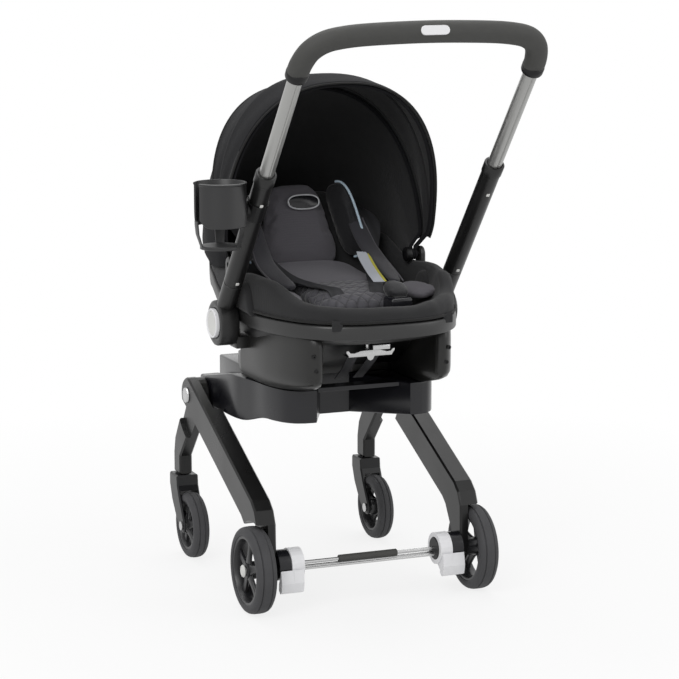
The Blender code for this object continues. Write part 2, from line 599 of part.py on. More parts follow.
def floor_rings(inset, floor_lift=0.0):
    """Rings of the bucket's floor, from its middle out to the foot of the wall."""
    foot = wall_ring(inset, 1.0, floor_lift)
    return [[(x * scale, y * scale, between(FLOOR_HEIGHTS, y * scale) + floor_lift) for x, y, _ in foot]
            for scale in (0.30, 0.70)]


def bucket_rings(inset, floor_lift=0.0):
    """The bucket's skin, from the middle of its floor up to the underside of the lip."""
    walls = [wall_ring(inset, drop, floor_lift) for drop in reversed(WALL_DROPS)]
    return floor_rings(inset, floor_lift) + walls


def bucket_cutter():
    """The bucket with its clearance, carried up past the rim, to seat what lies against it."""
    rings = bucket_rings(LIP_OUT - 3 * FIT, -3 * FIT)
    return loft(rings + [[(x, y, 0.80) for x, y, _ in rings[-1]]], split=True)


def make_shell():
    """The moulded bucket with its lip, and on the rim the ears for the canopy and the handle's pivot."""
    lip = [rim_ring(0.0, -LIP_DEPTH), rim_ring(0.0, -0.003), rim_ring(0.003, 0.0), rim_ring(0.013, 0.0)]
    inner = bucket_rings(LIP_OUT + WALL, WALL)
    ears, bores = [], []
    for side, _ in SIDES:
        for outline, reach in ((mount_outline(), MOUNT_X), (shroud_outline(), SHROUD_X)):
            low, high = sorted(side * x for x in reach)
            ears.append(slab("X", outline, low, high))
        bores.append(disc("X", (CANOPY_Y, CANOPY_Z), KNOB_SHAFT + 2 * FIT, side * (MOUNT_X[0] - 0.0115),
                          side * (MOUNT_X[1] + 0.0095), 12))
    piece("carrier_shell", loft(bucket_rings(LIP_OUT) + lip + inner[::-1], split=True), "shell_plastic", join=ears,
          cut=bores)


def wall_point(place, inset, drop):
    """Point on the faceted wall; place counts the plan's points and may fall between two."""
    upper = max(k for k, level in enumerate(WALL_DROPS[:-1]) if level <= drop)
    share = (drop - WALL_DROPS[upper]) / (WALL_DROPS[upper + 1] - WALL_DROPS[upper])
    first = math.floor(place)
    corners = []
    for level in WALL_DROPS[upper:upper + 2]:
        ring = wall_ring(inset, level)
        here, there = Vector(ring[first % PLAN_STEPS]), Vector(ring[(first + 1) % PLAN_STEPS])
        corners.append(here.lerp(there, place - first))
    return corners[0].lerp(corners[1], share)


def make_rear_cover():
    """The light shell round the back of the bucket, from one side to the other."""
    start = wall_ring(LIP_OUT, 0.0)
    share = (start[0][1] - COVER_EDGE_Y) / (start[0][1] - start[-1][1])
    half = PLAN_STEPS // 2
    places = [-share] + list(range(half)) + [half - 1 + share]
    sections = []
    for place in places:
        gap = 2 * FIT if place in range(half) else 2 * RUN      # an end crosses a bent face
        outer = [wall_point(place, LIP_OUT - COVER_WALL - gap, drop) for drop in (0.05, 0.45, 0.88)]
        inner = [wall_point(place, LIP_OUT - gap, drop) for drop in (0.88, 0.45, 0.05)]
        sections.append(outer + inner)
    piece("rear_cover", loft(sections, split=True), "grey_plastic")


def skirt(side):
    """One of the two deep sides of the base, on its pod at the foot and wider above it."""
    rings = []
    for z, plan_points, half in ((TRAY_TOP + FIT, SKIRT_FOOT_PLAN, SKIRT_FOOT_HALF),
                                 (SKIRT_FOOT, SKIRT_PLAN, SKIRT_HALF),
                                 (SKIRT_TOP, SKIRT_PLAN, SKIRT_HALF)):
        edge = COVER_EDGE_Y - RUN
        outline = [(RECESS_HALF, edge)] + plan_points + [(half, edge)]
        rings.append([(side * x, y, z) for x, y in outline])
    return loft(rings)


def make_base():
    """The base under the bucket: a floor on the tray, two skirts with a recess between, two lugs with pins."""
    floor = mirrored([(0.140, -0.120), (0.150, -0.040), (0.150, 0.020), (0.125, 0.100),
                      (BASE_BACK_HALF, BASE_BACK_Y)])
    floor = [(RECESS_HALF - 0.004, -0.060)] + floor + [(-RECESS_HALF + 0.004, -0.060)]
    inner, outer = RIM_HALF + 0.0006, TUBE_X - TUBE_RADIUS - 2 * FIT
    pins = [disc("X", (HANDLE_Y, HANDLE_Z), HANDLE_PIN, s * inner, s * HANDLE_PIN_END, 14) for s, _ in SIDES]
    shelf = (SKIRT_HALF - 0.008, outer - 2 * FIT, LUG_HALF + 0.003, LUG_FOOT - 0.003, LUG_FOOT + 0.018)
    lug = (inner, outer, LUG_HALF, LUG_FOOT, HANDLE_Z + 0.006)
    for side, _ in SIDES:
        for start, end, half, foot, top in (shelf, lug):
            low, high = sorted((side * start, side * end))
            pins.append(box((low, HANDLE_Y - half, foot), (high, HANDLE_Y + half, top)))
    piece("carrier_base", slab("Z", floor, TRAY_TOP + FIT, SKIRT_FOOT - 0.005), "frame_plastic",
          join=[skirt(-1), skirt(1)] + pins, cut=[bucket_cutter()])


def rim_foot(first, last, steps=4):
    """The lower edge of something that stands on the rim, sunk a little way into it."""
    places = [first + (last - first) * k / steps for k in range(steps + 1)]
    return [(y, between(RIM_HEIGHTS, y) - 0.004) for y in places]


def mount_outline(margin=0.0):
    """Side view of the ear that carries the canopy's pivot."""
    half = 0.016 + margin
    return rim_foot(CANOPY_Y - half, CANOPY_Y + half) + arc((CANOPY_Y, CANOPY_Z), 0.014 + margin, 0, 180, 8)


def shroud_outline(margin=0.0):
    """Side view of the rounded ear beside the handle's pivot."""
    half = 0.036 + margin
    return rim_foot(SHROUD_Y - half, SHROUD_Y + half) + arc((SHROUD_Y, SHROUD_Z), 0.026 + margin, 10, 170, 8)


def ear_seats():
    """Cutters for the slots that the fabric leaves round both pairs of ears."""
    cutters = []
    for side in (-1, 1):
        for outline, reach in ((mount_outline(RUN), MOUNT_X), (shroud_outline(RUN), SHROUD_X)):
            low, high = sorted(side * x for x in (reach[0] - RUN, RIM_HALF + 0.009))
            ends = [outline[0], outline[4]]
            sunk = [(ends[0][0], ends[0][1] - 0.03), (ends[1][0], ends[1][1] - 0.03)]
            cutters.append(slab("X", sunk + outline[4:] + [outline[0]], low, high))
    return cutters


def seat_surface():
    """Rings of the seat's surface, from the middle of the bowl out towards the roll."""
    rings = []
    for scale in (0.15, 0.40, 0.62, 0.80):
        ring = []
        for turn in plan_turns():
            x, y = plan(turn, 0.0)
            blend = max(0.0, (scale - 0.62) / 0.38) ** 2
            bowl = between(SEAT_HEIGHTS, y * scale)
            ring.append((x * scale, y * scale, bowl + (between(ROLL_HEIGHTS, y) - bowl) * blend))
        rings.append(ring)
    return rings


def make_seat_cover(cutters):
    """The fabric roll on the rim and the lining of the bowl, cut round what stands in it."""
    roll = [rim_ring(0.022, 0.0, ROLL_HEIGHTS), rim_ring(0.010, 0.0, ROLL_HEIGHTS),
            rim_ring(0.003, -0.008, ROLL_HEIGHTS), rim_ring(0.001, 0.012), rim_ring(0.003, 2 * FIT),
            rim_ring(0.013, 2 * FIT)]
    lining = LIP_OUT + WALL + 0.0015
    under = [rim_ring(lining, -0.003)] + bucket_rings(lining, WALL + 0.0015)[::-1]
    piece("seat_cover", loft(seat_surface() + roll + under, split=True), "black_fabric", cut=cutters)


def cushion(centre, right, up, half_width, half_height, front, back, taper=0.0, power=4.0, steps=24,
            channel=None):
    """A crowned pad with drawn-in sides.

    right and up span the pad; front and back are how far it swells on either face. channel takes the
    place on the pad, each way from -1 to 1, and gives the depth of a sewn channel there.
    """
    centre, right, up = Vector(centre), Vector(right).normalized(), Vector(up).normalized()
    normal = right.cross(up).normalized()
    faces = [(0.15, front), (0.40, front), (0.62, front), (0.80, front), (0.92, front), (0.985, front * 0.6),
             (1.0, 0.0), (0.985, -back * 0.6), (0.90, -back), (0.45, -back)]
    rings = []
    for scale, height in faces:
        ring = []
        for step in range(steps):
            turn = 2 * math.pi * step / steps
            c, s = math.cos(turn), math.sin(turn)
            u = scale * math.copysign(abs(c) ** (2 / power), c)
            v = scale * math.copysign(abs(s) ** (2 / power), s)
            lift = height
            if height > 0 and scale < 0.98:
                lift = height * (1.0 - 0.45 * scale ** 3)
                lift -= channel(u, v) if channel else 0.0
            ring.append(centre + right * u * half_width * (1 - taper * v) + up * v * half_height + normal * lift)
        rings.append(ring)
    return loft(rings)


def back_pad(margin=0.0):
    """The grey pad behind the child's back, narrower at the head."""
    return cushion((0.0, 0.1200, 0.6155), (1, 0, 0), BACK_UP, 0.0600 + margin, 0.0800 + margin, 0.012 + margin,
                   0.012 + margin, taper=0.20)


def quilting(u, v):
    """Two sewn channels across the seat pad."""
    return 0.004 if min(abs(v - 0.25), abs(v + 0.35)) < 0.10 and abs(u) < 0.95 else 0.0


def seat_pad(margin=0.0):
    """The quilted pad that the child sits on."""
    return cushion((0.0, -0.0650, 0.5190), (1, 0, 0), (0, 1, 0.05), 0.0850 + margin, 0.1250 + margin,
                   0.020 + margin, 0.010 + margin, channel=None if margin else quilting)


def bolster(side, margin=0.0):
    """A side wing that stands forward of the back pad."""
    base, out, up = (Vector((side * x, y, z)) for x, y, z in (WING_BASE, WING_OUT, WING_UP))
    return cushion(base + out * 0.031, out, up, 0.031 + margin, 0.070 + margin, 0.007 + margin, 0.007 + margin,
                   power=3.0, steps=16)


def strap(side, margin=0.0):
    """A harness strap from its slot in the lining, round a wing, to its slot in the seat pad."""
    path = smooth_path([(side * x, y, z) for x, y, z in STRAP_PATH], 2)
    if margin:
        path[0] += (path[0] - path[1]).normalized() * margin
        path[-1] += (path[-1] - path[-2]).normalized() * margin
    return swept(path, (1, 0, 0), (STRAP_HALF + margin, STRAP_THICK / 2 + margin), 6)


def make_soft_pieces():
    """The pads, each seated in the lining, and the harness on them."""
    piece("back_pad", back_pad(), "grey_fabric")
    piece("seat_pad", seat_pad(), "grey_fabric", cut=[strap(side, 2 * FIT) for side, _ in SIDES])
    for side, name in SIDES:
        piece(f"bolster_{name}", bolster(side), "black_fabric")
        piece(f"harness_strap_{name}", strap(side), "webbing")
    top = BUCKLE_HIGH[2]
    piece("buckle", box(BUCKLE_LOW, BUCKLE_HIGH, 0.003), "shell_plastic",
          cut=[button_box(RUN / 2, top - 0.006 - BUCKLE_TRAVEL - RUN, top + 0.010)])
    centre = [(low + high) / 2 for low, high in zip(BUCKLE_LOW, BUCKLE_HIGH)]
    piece("buckle_button", button_box(0.0, top - 0.006, top + 0.0015, 0.001), "shell_plastic",
          pivot("buckle_button_slide", centre))
    margin = 2 * FIT
    buckle_seat = box([a - margin for a in BUCKLE_LOW], [a + margin for a in BUCKLE_HIGH[:2]] + [top + 0.030])
    seats = [back_pad(margin), seat_pad(margin), bolster(-1, margin), bolster(1, margin), buckle_seat]
    make_seat_cover(ear_seats() + seats + [strap(side, margin) for side, _ in SIDES])


def button_box(margin, low, high, bevel=0.0):
    """The buckle's push button between two heights, or with a margin the slot for it."""
    middle = [(a + b) / 2 for a, b in zip(BUCKLE_LOW, BUCKLE_HIGH)]
    near, far = ([middle[k] + way * (BUCKLE_BUTTON[k] + margin) for k in (0, 1)] for way in (-1, 1))
    return box(near + [low], far + [high], bevel)


def make_yoke():
    """The metal plate under the seat's front that the harness is drawn up by, and its post."""
    plate = box((-0.045, -0.215, 0.4330), (0.045, -0.185, 0.4360), 0.001)
    piece("yoke_plate", plate, "steel", join=[disc("Z", (0.0, -0.200), 0.005, 0.4350, 0.4529, 16)])


def arch(shrink, start, steps):
    """The canopy's arch as (x, s) from the right pivot over the top to the left, drawn in by shrink."""
    half = []
    for k in range(2):
        s = start + (CANOPY_BELLY - start) * k / 2
        half.append((CANOPY_HALF - shrink - CANOPY_TUCK * (CANOPY_BELLY - s) ** 2, s))
    for k in range(steps):
        t = math.pi / 2 * k / steps
        half.append(((CANOPY_HALF - shrink) * math.cos(t) ** (2 / CANOPY_POWER),
                     CANOPY_BELLY + (CANOPY_RISE - shrink - CANOPY_BELLY) * math.sin(t) ** (2 / CANOPY_POWER)))
    top = (0.0, CANOPY_RISE - shrink)
    return half + [top] + [(-x, s) for x, s in reversed(half)]


def swung(x, s, turn):
    """World place of a point of the arch when it leans back by an angle."""
    return (x, CANOPY_Y + s * math.sin(turn), CANOPY_Z + s * math.cos(turn))


def canopy_sheet(first, last, shrink, steps=2):
    """One panel of the canopy between two angles."""
    rings = []
    outer, inner = arch(shrink, 0.036, 10), arch(shrink + SHEET, 0.036, 10)
    for k in range(steps + 1):
        turn = first + (last - first) * k / steps
        rings.append([swung(x, s, turn) for x, s in outer + inner[::-1]])
    return loft(rings)


def canopy_bow(turn, shrink, eye_x):
    """A flat bow under a panel, with an eye round the pivot at both ends."""
    path = arch(shrink, 0.038, 8)
    near = [(eye_x, 0.004), (eye_x, 0.0135), (eye_x + 0.0095, 0.0245)]
    path = near + path + [(-x, s) for x, s in reversed(near)]
    radii = [(0.005, 0.0022)] * 3 + [(0.005, 0.0033)] * (len(path) - 6) + [(0.005, 0.0022)] * 3
    across = (0.0, math.cos(turn), -math.sin(turn))
    eyes = [disc("X", (CANOPY_Y, CANOPY_Z), 0.010, s * eye_x - 0.0024, s * eye_x + 0.0024, 10) for s in (-1, 1)]
    bores = [disc("X", (CANOPY_Y, CANOPY_Z), KNOB_SHAFT + 2 * FIT, s * eye_x - 0.006, s * eye_x + 0.006, 10)
             for s in (-1, 1)]
    return swept([swung(x, s, turn) for x, s in path], across, radii, 6), eyes, bores


def make_canopy():
    """Two folding bows with their panels, and the fixed rear panel."""
    place = (0.0, CANOPY_Y, CANOPY_Z)
    mid_body = pivot("canopy_mid_pivot", place)
    front_body = pivot("canopy_front_pivot", place, mid_body)
    lean = math.radians(1.6)
    for name, turn, shrink, eye_x, body in (("front", FRONT_EDGE + lean, 0.0068, FRONT_EYE_X, front_body),
                                            ("mid", MID_SEAM - lean, 0.0118, MID_EYE_X, mid_body)):
        shape, eyes, bores = canopy_bow(turn, shrink, eye_x)
        piece(f"canopy_{name}_bow", shape, "shell_plastic", body, join=eyes, cut=bores)
    piece("canopy_front_panel", canopy_sheet(FRONT_EDGE, FRONT_SEAM, 0.0), "black_fabric", front_body)
    piece("canopy_mid_panel", canopy_sheet(FRONT_SEAM, MID_SEAM, 0.0050), "black_fabric", mid_body)
    piece("canopy_rear_panel", canopy_sheet(MID_SEAM, REAR_EDGE, 0.0185, 5), "black_fabric")
    for side, name in SIDES:
        head = MID_EYE_X - 0.0030
        knob = [(0, 0), (head - 0.0105, 0.0115), (head - 0.0085, 0.0130), (head, 0.0130), (head, KNOB_SHAFT),
                (MOUNT_X[1], KNOB_SHAFT), (0, 0)]
        piece(f"canopy_knob_{name}", solid_turned("X", (CANOPY_Y, CANOPY_Z), [(side * d, r) for d, r in knob], 14),
              "shell_plastic")


def tube_point(x, s, off=(0.0, 0.0, 0.0)):
    """World place of a point on the handle's plane; s runs up the tubes from their collars."""
    return (x + off[0], COLLAR_Y - s * math.sin(HANDLE_LEAN) + off[1],
            COLLAR_Z + s * math.cos(HANDLE_LEAN) + off[2])


def tube(x, start, stop, radius, steps=16):
    """A length of round bar along the handle."""
    ends = [tube_point(x, start), tube_point(x, stop)]
    return swept(ends, (1, 0, 0), (radius, radius), steps)


def make_handle():
    """The swinging handle: hubs, outer tubes, collars, and the telescoping tubes with the grip."""
    handle = pivot("handle_pivot", (0.0, HANDLE_Y, HANDLE_Z))
    slide = pivot("telescope_slide", tube_point(0.0, 0.0), handle)
    hub = (HANDLE_Y, HANDLE_Z)
    low, high = TUBE_X - TUBE_RADIUS, TUBE_OUT
    for side, name in SIDES:
        stub = tube(side * TUBE_X, -0.330, HUB_JOINT_S - FIT, TUBE_RADIUS)
        piece(f"handle_hub_{name}", disc("X", hub, HUB_DISC, side * low, side * high, 28), "black_tube", handle,
              join=[stub],
              cut=[disc("X", hub, HANDLE_PIN + FIT, side * (low - 0.01), side * (HANDLE_PIN_END + RUN / 2), 20),
                   disc("X", hub, BUTTON_RADIUS + RUN / 2, side * (TUBE_X + 0.0105), side * (high + 0.01),
                        24)])
        body = pivot(f"hub_button_{name}_slide", (side * high, HANDLE_Y, HANDLE_Z), handle)
        button = [(0, 0), (TUBE_X + 0.0160, BUTTON_RADIUS), (high + 0.0045, BUTTON_RADIUS), (high + 0.0063, 0.0230),
                  (high + 0.0063, 0.0200), (high + 0.0050, 0.0185), (0, 0)]
        piece(f"hub_button_{name}", solid_turned("X", hub, [(side * d, r) for d, r in button], 24),
              "white_plastic", body)
        piece(f"outer_tube_{name}", tube(side * TUBE_X, HUB_JOINT_S, -0.001, TUBE_RADIUS), "black_tube", handle,
              join=[tube(side * TUBE_X, -0.010, 0.010, TUBE_RADIUS + 0.0013)],
              cut=[tube(side * TUBE_X, HUB_JOINT_S - 0.01, -0.012, TUBE_BORE),
                   tube(side * TUBE_X, -0.02, 0.02, INNER_RADIUS + FIT)])
        piece(f"inner_tube_{name}", tube(side * TUBE_X, -0.045, GRIP_START + 0.020, INNER_RADIUS), "silver_tube",
              slide)
    half = [tube_point(x, s) for x, s in GRIP_PATH]
    path = smooth_path([(-x, y, z) for x, y, z in reversed(half[1:])] + half, 2)
    out = Vector((0, -math.cos(HANDLE_LEAN), -math.sin(HANDLE_LEAN)))
    up = Vector((0, -math.sin(HANDLE_LEAN), math.cos(HANDLE_LEAN)))
    press = up * math.cos(math.radians(40)) + out * math.sin(math.radians(40))
    middle = Vector(tube_point(0.0, GRIP_PATH[0][1]))
    bores = [tube(s * TUBE_X, GRIP_START - 0.02, GRIP_START + 0.0203, INNER_RADIUS + FIT) for s in (-1, 1)]
    piece("grip", swept(path, out, (GRIP_DEEP, GRIP_WIDE), 10), "grip_foam", slide,
          cut=bores + [oval(middle, press, 0.0085, 0.0300, RUN / 2)])
    button_body = pivot("grip_button_slide", middle, slide)
    piece("grip_button", oval(middle, press, 0.0130, 0.0186, 0.0), "white_plastic", button_body)
    make_cup_holder(handle)


def oval(middle, press, low, high, margin):
    """An oval plug along a direction, 50 mm by 15 mm."""
    side = Vector((1, 0, 0))
    across = press.cross(side)
    outline = arc((0.0175, 0.0), 0.0075 + margin, -90, 90, 6) + arc((-0.0175, 0.0), 0.0075 + margin, 90, 270, 6)
    return loft([[middle + side * a + across * b + press * d for a, b in outline] for d in (low, high)])


def make_cup_holder(handle):
    """The clamp on the left tube and the open band, uprights and floor that hang on its pin."""
    x, y, z = tube_point(-TUBE_X, CUP_PIN_S)
    clamp_out = TUBE_OUT + 0.0030
    pin_end = clamp_out + 0.0063
    axis = (y, z)
    piece("cup_clamp", tube(-TUBE_X, CUP_PIN_S - 0.018, CUP_PIN_S + 0.018, TUBE_RADIUS + 0.0022), "shell_plastic",
          handle,
          join=[disc("X", axis, 0.013, -clamp_out, -TUBE_X - 0.010, 24),
                disc("X", axis, 0.0055, -pin_end, -clamp_out + 0.001, 16)],
          cut=[tube(-TUBE_X, CUP_PIN_S - 0.03, CUP_PIN_S + 0.03, TUBE_RADIUS + FIT)])
    body = pivot("cup_holder_pivot", (-clamp_out, y, z), handle)
    centre = (CUP_X, CUP_Y)
    inner = CUP_RADIUS - CUP_WALL
    band = slab("Z", arc(centre, CUP_RADIUS, -60, 225, 16) + arc(centre, inner, 225, -60, 16), CUP_BAND_LOW,
                CUP_BAND_TOP)
    floor = disc("Z", centre, 0.034, CUP_Z, CUP_Z + 0.006, 16)
    ribs = []
    for first, last in ((-58, -38), (60, 84), (165, 189)):
        outline = arc(centre, CUP_RADIUS - 0.0004, first, last, 3) + arc(centre, inner + 0.0004, last, first, 3)
        foot = [(CUP_X + (px - CUP_X) * 0.80, CUP_Y + (py - CUP_Y) * 0.80) for px, py in outline]
        levels = ((foot, CUP_Z + 0.0005), (foot, CUP_Z + 0.0055), (outline, CUP_BAND_LOW + 0.0040),
                  (outline, CUP_BAND_LOW + 0.0100))
        ribs.append(loft([[(px, py, level) for px, py in ring] for ring, level in levels]))
    boss_out = CUP_X + inner + 0.0012
    boss = disc("X", axis, 0.0125, boss_out, -clamp_out - FIT, 24)
    piece("cup_holder", band, "shell_plastic", body, join=[floor, boss] + ribs,
          cut=[disc("X", axis, 0.0055 + FIT, -pin_end - 0.0005, -clamp_out + 0.01, 16)])


def main():
    """Build every body in order, from the ground up."""
    clear_scene()
    rear_body = pivot("rear_leg_pivot", (0.0, LEG_PIVOT_Y, LEG_PIVOT_Z))
    front_body = pivot("front_leg_pivot", (0.0, LEG_PIVOT_Y, LEG_PIVOT_Z))
    pedal_body = pivot("brake_pedal_pivot", (0.0, BRAKE_Y, BRAKE_Z), rear_body)
    make_chassis()
    for side, name in SIDES:
        wheel = pivot(f"rear_wheel_{name}_axle", (side * REAR_X, REAR_Y, REAR_RADIUS), rear_body)
        fork = pivot(f"caster_{name}_swivel", (side * FRONT_X, SWIVEL_Y, STEM_FOOT_Z), front_body)
        small = pivot(f"front_wheel_{name}_axle", (side * FRONT_X, FRONT_Y, FRONT_RADIUS), fork)
        make_legs(side, name, rear_body, front_body)
        make_rear_wheel(side, name, wheel, rear_body)
        make_caster(side, name, fork, small)
        make_brake(side, name, rear_body, pedal_body)
    make_brake_link(pedal_body)
    make_shell()
    make_rear_cover()
    make_base()
    make_soft_pieces()
    make_yoke()
    make_canopy()
    make_handle()


if __name__ == "__main__":
    main()
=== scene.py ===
"""Looks of a car seat stroller: its finishes, its fabric and padding, and its smooth moulded surfaces.

Metres, +Z up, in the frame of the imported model. The parent stands at -Y and +X is to the right.
Each sub-assembly is a class with its sizes as fields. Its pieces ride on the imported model's bodies.
"""
import json
import logging
import math
from collections.abc import Callable, Sequence
from dataclasses import dataclass, field
from enum import Enum

import bmesh
import bpy
from bmesh.types import BMesh
from mathutils import Matrix, Vector, noise

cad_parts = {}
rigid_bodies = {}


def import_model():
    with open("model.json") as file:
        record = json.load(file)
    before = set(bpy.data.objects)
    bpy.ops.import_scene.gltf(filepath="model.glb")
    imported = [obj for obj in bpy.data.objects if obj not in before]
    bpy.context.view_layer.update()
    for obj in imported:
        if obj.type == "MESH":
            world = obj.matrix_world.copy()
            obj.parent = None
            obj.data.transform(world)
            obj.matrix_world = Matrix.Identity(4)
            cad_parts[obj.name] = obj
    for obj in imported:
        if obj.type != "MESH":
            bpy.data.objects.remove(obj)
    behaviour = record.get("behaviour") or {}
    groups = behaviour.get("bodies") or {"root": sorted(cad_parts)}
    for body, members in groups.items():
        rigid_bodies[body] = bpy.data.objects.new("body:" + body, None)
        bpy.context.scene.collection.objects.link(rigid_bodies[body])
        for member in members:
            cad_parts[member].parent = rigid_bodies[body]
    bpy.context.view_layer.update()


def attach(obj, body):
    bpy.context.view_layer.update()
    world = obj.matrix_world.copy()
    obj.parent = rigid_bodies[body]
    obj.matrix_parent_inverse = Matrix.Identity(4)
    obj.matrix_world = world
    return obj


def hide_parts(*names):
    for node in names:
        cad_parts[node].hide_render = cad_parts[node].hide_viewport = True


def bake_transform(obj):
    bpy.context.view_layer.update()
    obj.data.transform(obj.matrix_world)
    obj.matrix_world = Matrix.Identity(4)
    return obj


log = logging.getLogger("stroller")
Point = Sequence[float]
Ring = list[Point]
SIDES = ((-1, "left"), (1, "right"))
SMOOTH_ANGLE = math.radians(38)
MM_PER_M = 1000.0
LAST_FRAME = 20
# Radians to the metre in a wave texture of scale 1.
WAVE_PHASE = 20.0


class Axis(Enum):
    """A row axis that a shape is turned about or pushed along."""

    X = (1.0, 0.0, 0.0)
    Y = (0.0, 1.0, 0.0)
    Z = (0.0, 0.0, 1.0)

    def place(self, first: float, second: float, depth: float) -> tuple[float, float, float]:
        """Point with depth along this axis and the other two coordinates in XYZ order."""
        places = {"X": (depth, first, second), "Y": (first, depth, second), "Z": (first, second, depth)}
        return places[self.name]


def linear(code: str) -> tuple[float, float, float, float]:
    """Turn an sRGB hex colour to the linear value that a shader socket takes.

    Args:
        code: the colour as #rrggbb.

    Returns:
        Linear red, green and blue, and an alpha of 1.
    """
    parts = [int(code[k:k + 2], 16) / 255 for k in (1, 3, 5)]
    red, green, blue = (c / 12.92 if c <= 0.04045 else ((c + 0.055) / 1.055) ** 2.4 for c in parts)
    return red, green, blue, 1.0


def add_node(tree: bpy.types.NodeTree, kind: str, links: dict | None = None, **settings) -> bpy.types.Node:
    """Add a node with its settings and links.

    Args:
        tree: the node tree.
        kind: the node's type name.
        links: input name or index to the output socket that feeds it.
        settings: attributes, or input values where the name is an input in lower case.

    Returns:
        The new node.
    """
    node = tree.nodes.new(kind)
    inputs = {socket.name.lower().replace(" ", "_"): socket for socket in reversed(node.inputs)}
    for name, value in settings.items():
        if name in inputs:
            inputs[name].default_value = value
        else:
            setattr(node, name, value)
    for name, output in (links or {}).items():
        tree.links.new(output, node.inputs[name])
    return node


@dataclass(frozen=True)
class Finish:
    """What a surface is made of: base of the moulded, metal, rubber and woven finishes."""

    name: str
    slot: str
    colour: str
    roughness: float
    metallic: float = 0.0
    grain_mm: float = 1.2
    grain_depth: float = 0.05
    shade: float = 0.12
    gloss: float = 0.5

    def build(self) -> bpy.types.Material:
        """Return this finish as a node material, made the first time it is asked for."""
        ready = bpy.data.materials.get(self.name)
        if ready:
            return ready
        material = bpy.data.materials.new(self.name)
        material.use_nodes = True
        tree = material.node_tree
        shader = tree.nodes["Principled BSDF"]
        shader.inputs["Metallic"].default_value = self.metallic
        shader.inputs["Specular IOR Level"].default_value = self.gloss
        where = add_node(tree, "ShaderNodeTexCoord").outputs["Object"]
        self.dress(tree, shader, where)
        return material

    def paint(self, tree: bpy.types.NodeTree, shader: bpy.types.Node, factor: bpy.types.NodeSocket,
              low: float, high: float) -> None:
        """Colour the surface from a darker to a lighter shade of this finish by a factor."""
        base = linear(self.colour)
        ramp = add_node(tree, "ShaderNodeValToRGB", {"Fac": factor})
        for stop, share in ((ramp.color_ramp.elements[0], low), (ramp.color_ramp.elements[1], high)):
            stop.color = (*(min(1.0, c * share) for c in base[:3]), 1.0)
        tree.links.new(ramp.outputs["Color"], shader.inputs["Base Color"])

    def polish(self, tree: bpy.types.NodeTree, shader: bpy.types.Node, factor: bpy.types.NodeSocket,
               less: float, more: float) -> None:
        """Vary the roughness about this finish's own by a factor."""
        rough = add_node(tree, "ShaderNodeMapRange", {"Value": factor}, from_min=0.3, from_max=0.7,
                         to_min=self.roughness - less, to_max=self.roughness + more)
        tree.links.new(rough.outputs["Result"], shader.inputs["Roughness"])

    def bump(self, tree: bpy.types.NodeTree, shader: bpy.types.Node, height: bpy.types.NodeSocket,
             distance: float, strength: float = 1.0) -> None:
        """Raise the surface by a height socket, with the distance in metres."""
        made = add_node(tree, "ShaderNodeBump", {"Height": height}, strength=strength, distance=distance)
        tree.links.new(made.outputs["Normal"], shader.inputs["Normal"])

    def dress(self, tree: bpy.types.NodeTree, shader: bpy.types.Node, where: bpy.types.NodeSocket) -> None:
        """Moulded surface: a broad drift in shade, a fine spark-eroded grain and uneven gloss."""
        drift = add_node(tree, "ShaderNodeTexNoise", {"Vector": where}, scale=9.0, detail=3.0)
        self.paint(tree, shader, drift.outputs["Fac"], 1 - self.shade, 1 + self.shade)
        self.polish(tree, shader, drift.outputs["Fac"], 0.05, 0.06)
        grain = add_node(tree, "ShaderNodeTexNoise", {"Vector": where}, scale=MM_PER_M / self.grain_mm,
                         detail=2.0)
        self.bump(tree, shader, grain.outputs["Fac"], 0.0002, self.grain_depth)


@dataclass(frozen=True)
class Woven(Finish):
    """Plain-weave polyester: threads over and under, a heathered yarn and a soft sheen.

    The real thread is about 0.4 mm, too fine to show, so the weave is drawn several times as coarse.
    """

    thread_mm: float = 1.4
    heather: float = 0.35
    sheen: float = 0.25

    def dress(self, tree: bpy.types.NodeTree, shader: bpy.types.Node, where: bpy.types.NodeSocket) -> None:
        """Two crossed sets of threads, with lighter and darker yarns mixed in."""
        shader.inputs["Roughness"].default_value = self.roughness
        shader.inputs["Sheen Weight"].default_value = self.sheen
        shader.inputs["Sheen Roughness"].default_value = 0.5
        shader.inputs["Specular IOR Level"].default_value = 0.25
        axes = add_node(tree, "ShaderNodeSeparateXYZ", {"Vector": where})
        turns = 2 * math.pi * MM_PER_M / self.thread_mm
        height = None
        for axis in ("X", "Y", "Z"):
            phase = add_node(tree, "ShaderNodeMath", {0: axes.outputs[axis]}, operation="MULTIPLY")
            phase.inputs[1].default_value = turns
            wave = add_node(tree, "ShaderNodeMath", {0: phase.outputs[0]}, operation="SINE").outputs[0]
            height = wave if height is None else add_node(tree, "ShaderNodeMath", {0: height, 1: wave},
                                                          operation="ADD").outputs[0]
        yarn = add_node(tree, "ShaderNodeTexNoise", {"Vector": where}, scale=420.0, detail=2.0)
        drift = add_node(tree, "ShaderNodeTexNoise", {"Vector": where}, scale=7.0, detail=2.0)
        mixed = add_node(tree, "ShaderNodeMix", {2: yarn.outputs["Fac"], 3: drift.outputs["Fac"]},
                         data_type="FLOAT")
        self.paint(tree, shader, mixed.outputs[0], 1 - self.heather, 1 + self.heather)
        self.bump(tree, shader, height, 0.00012, 0.35)


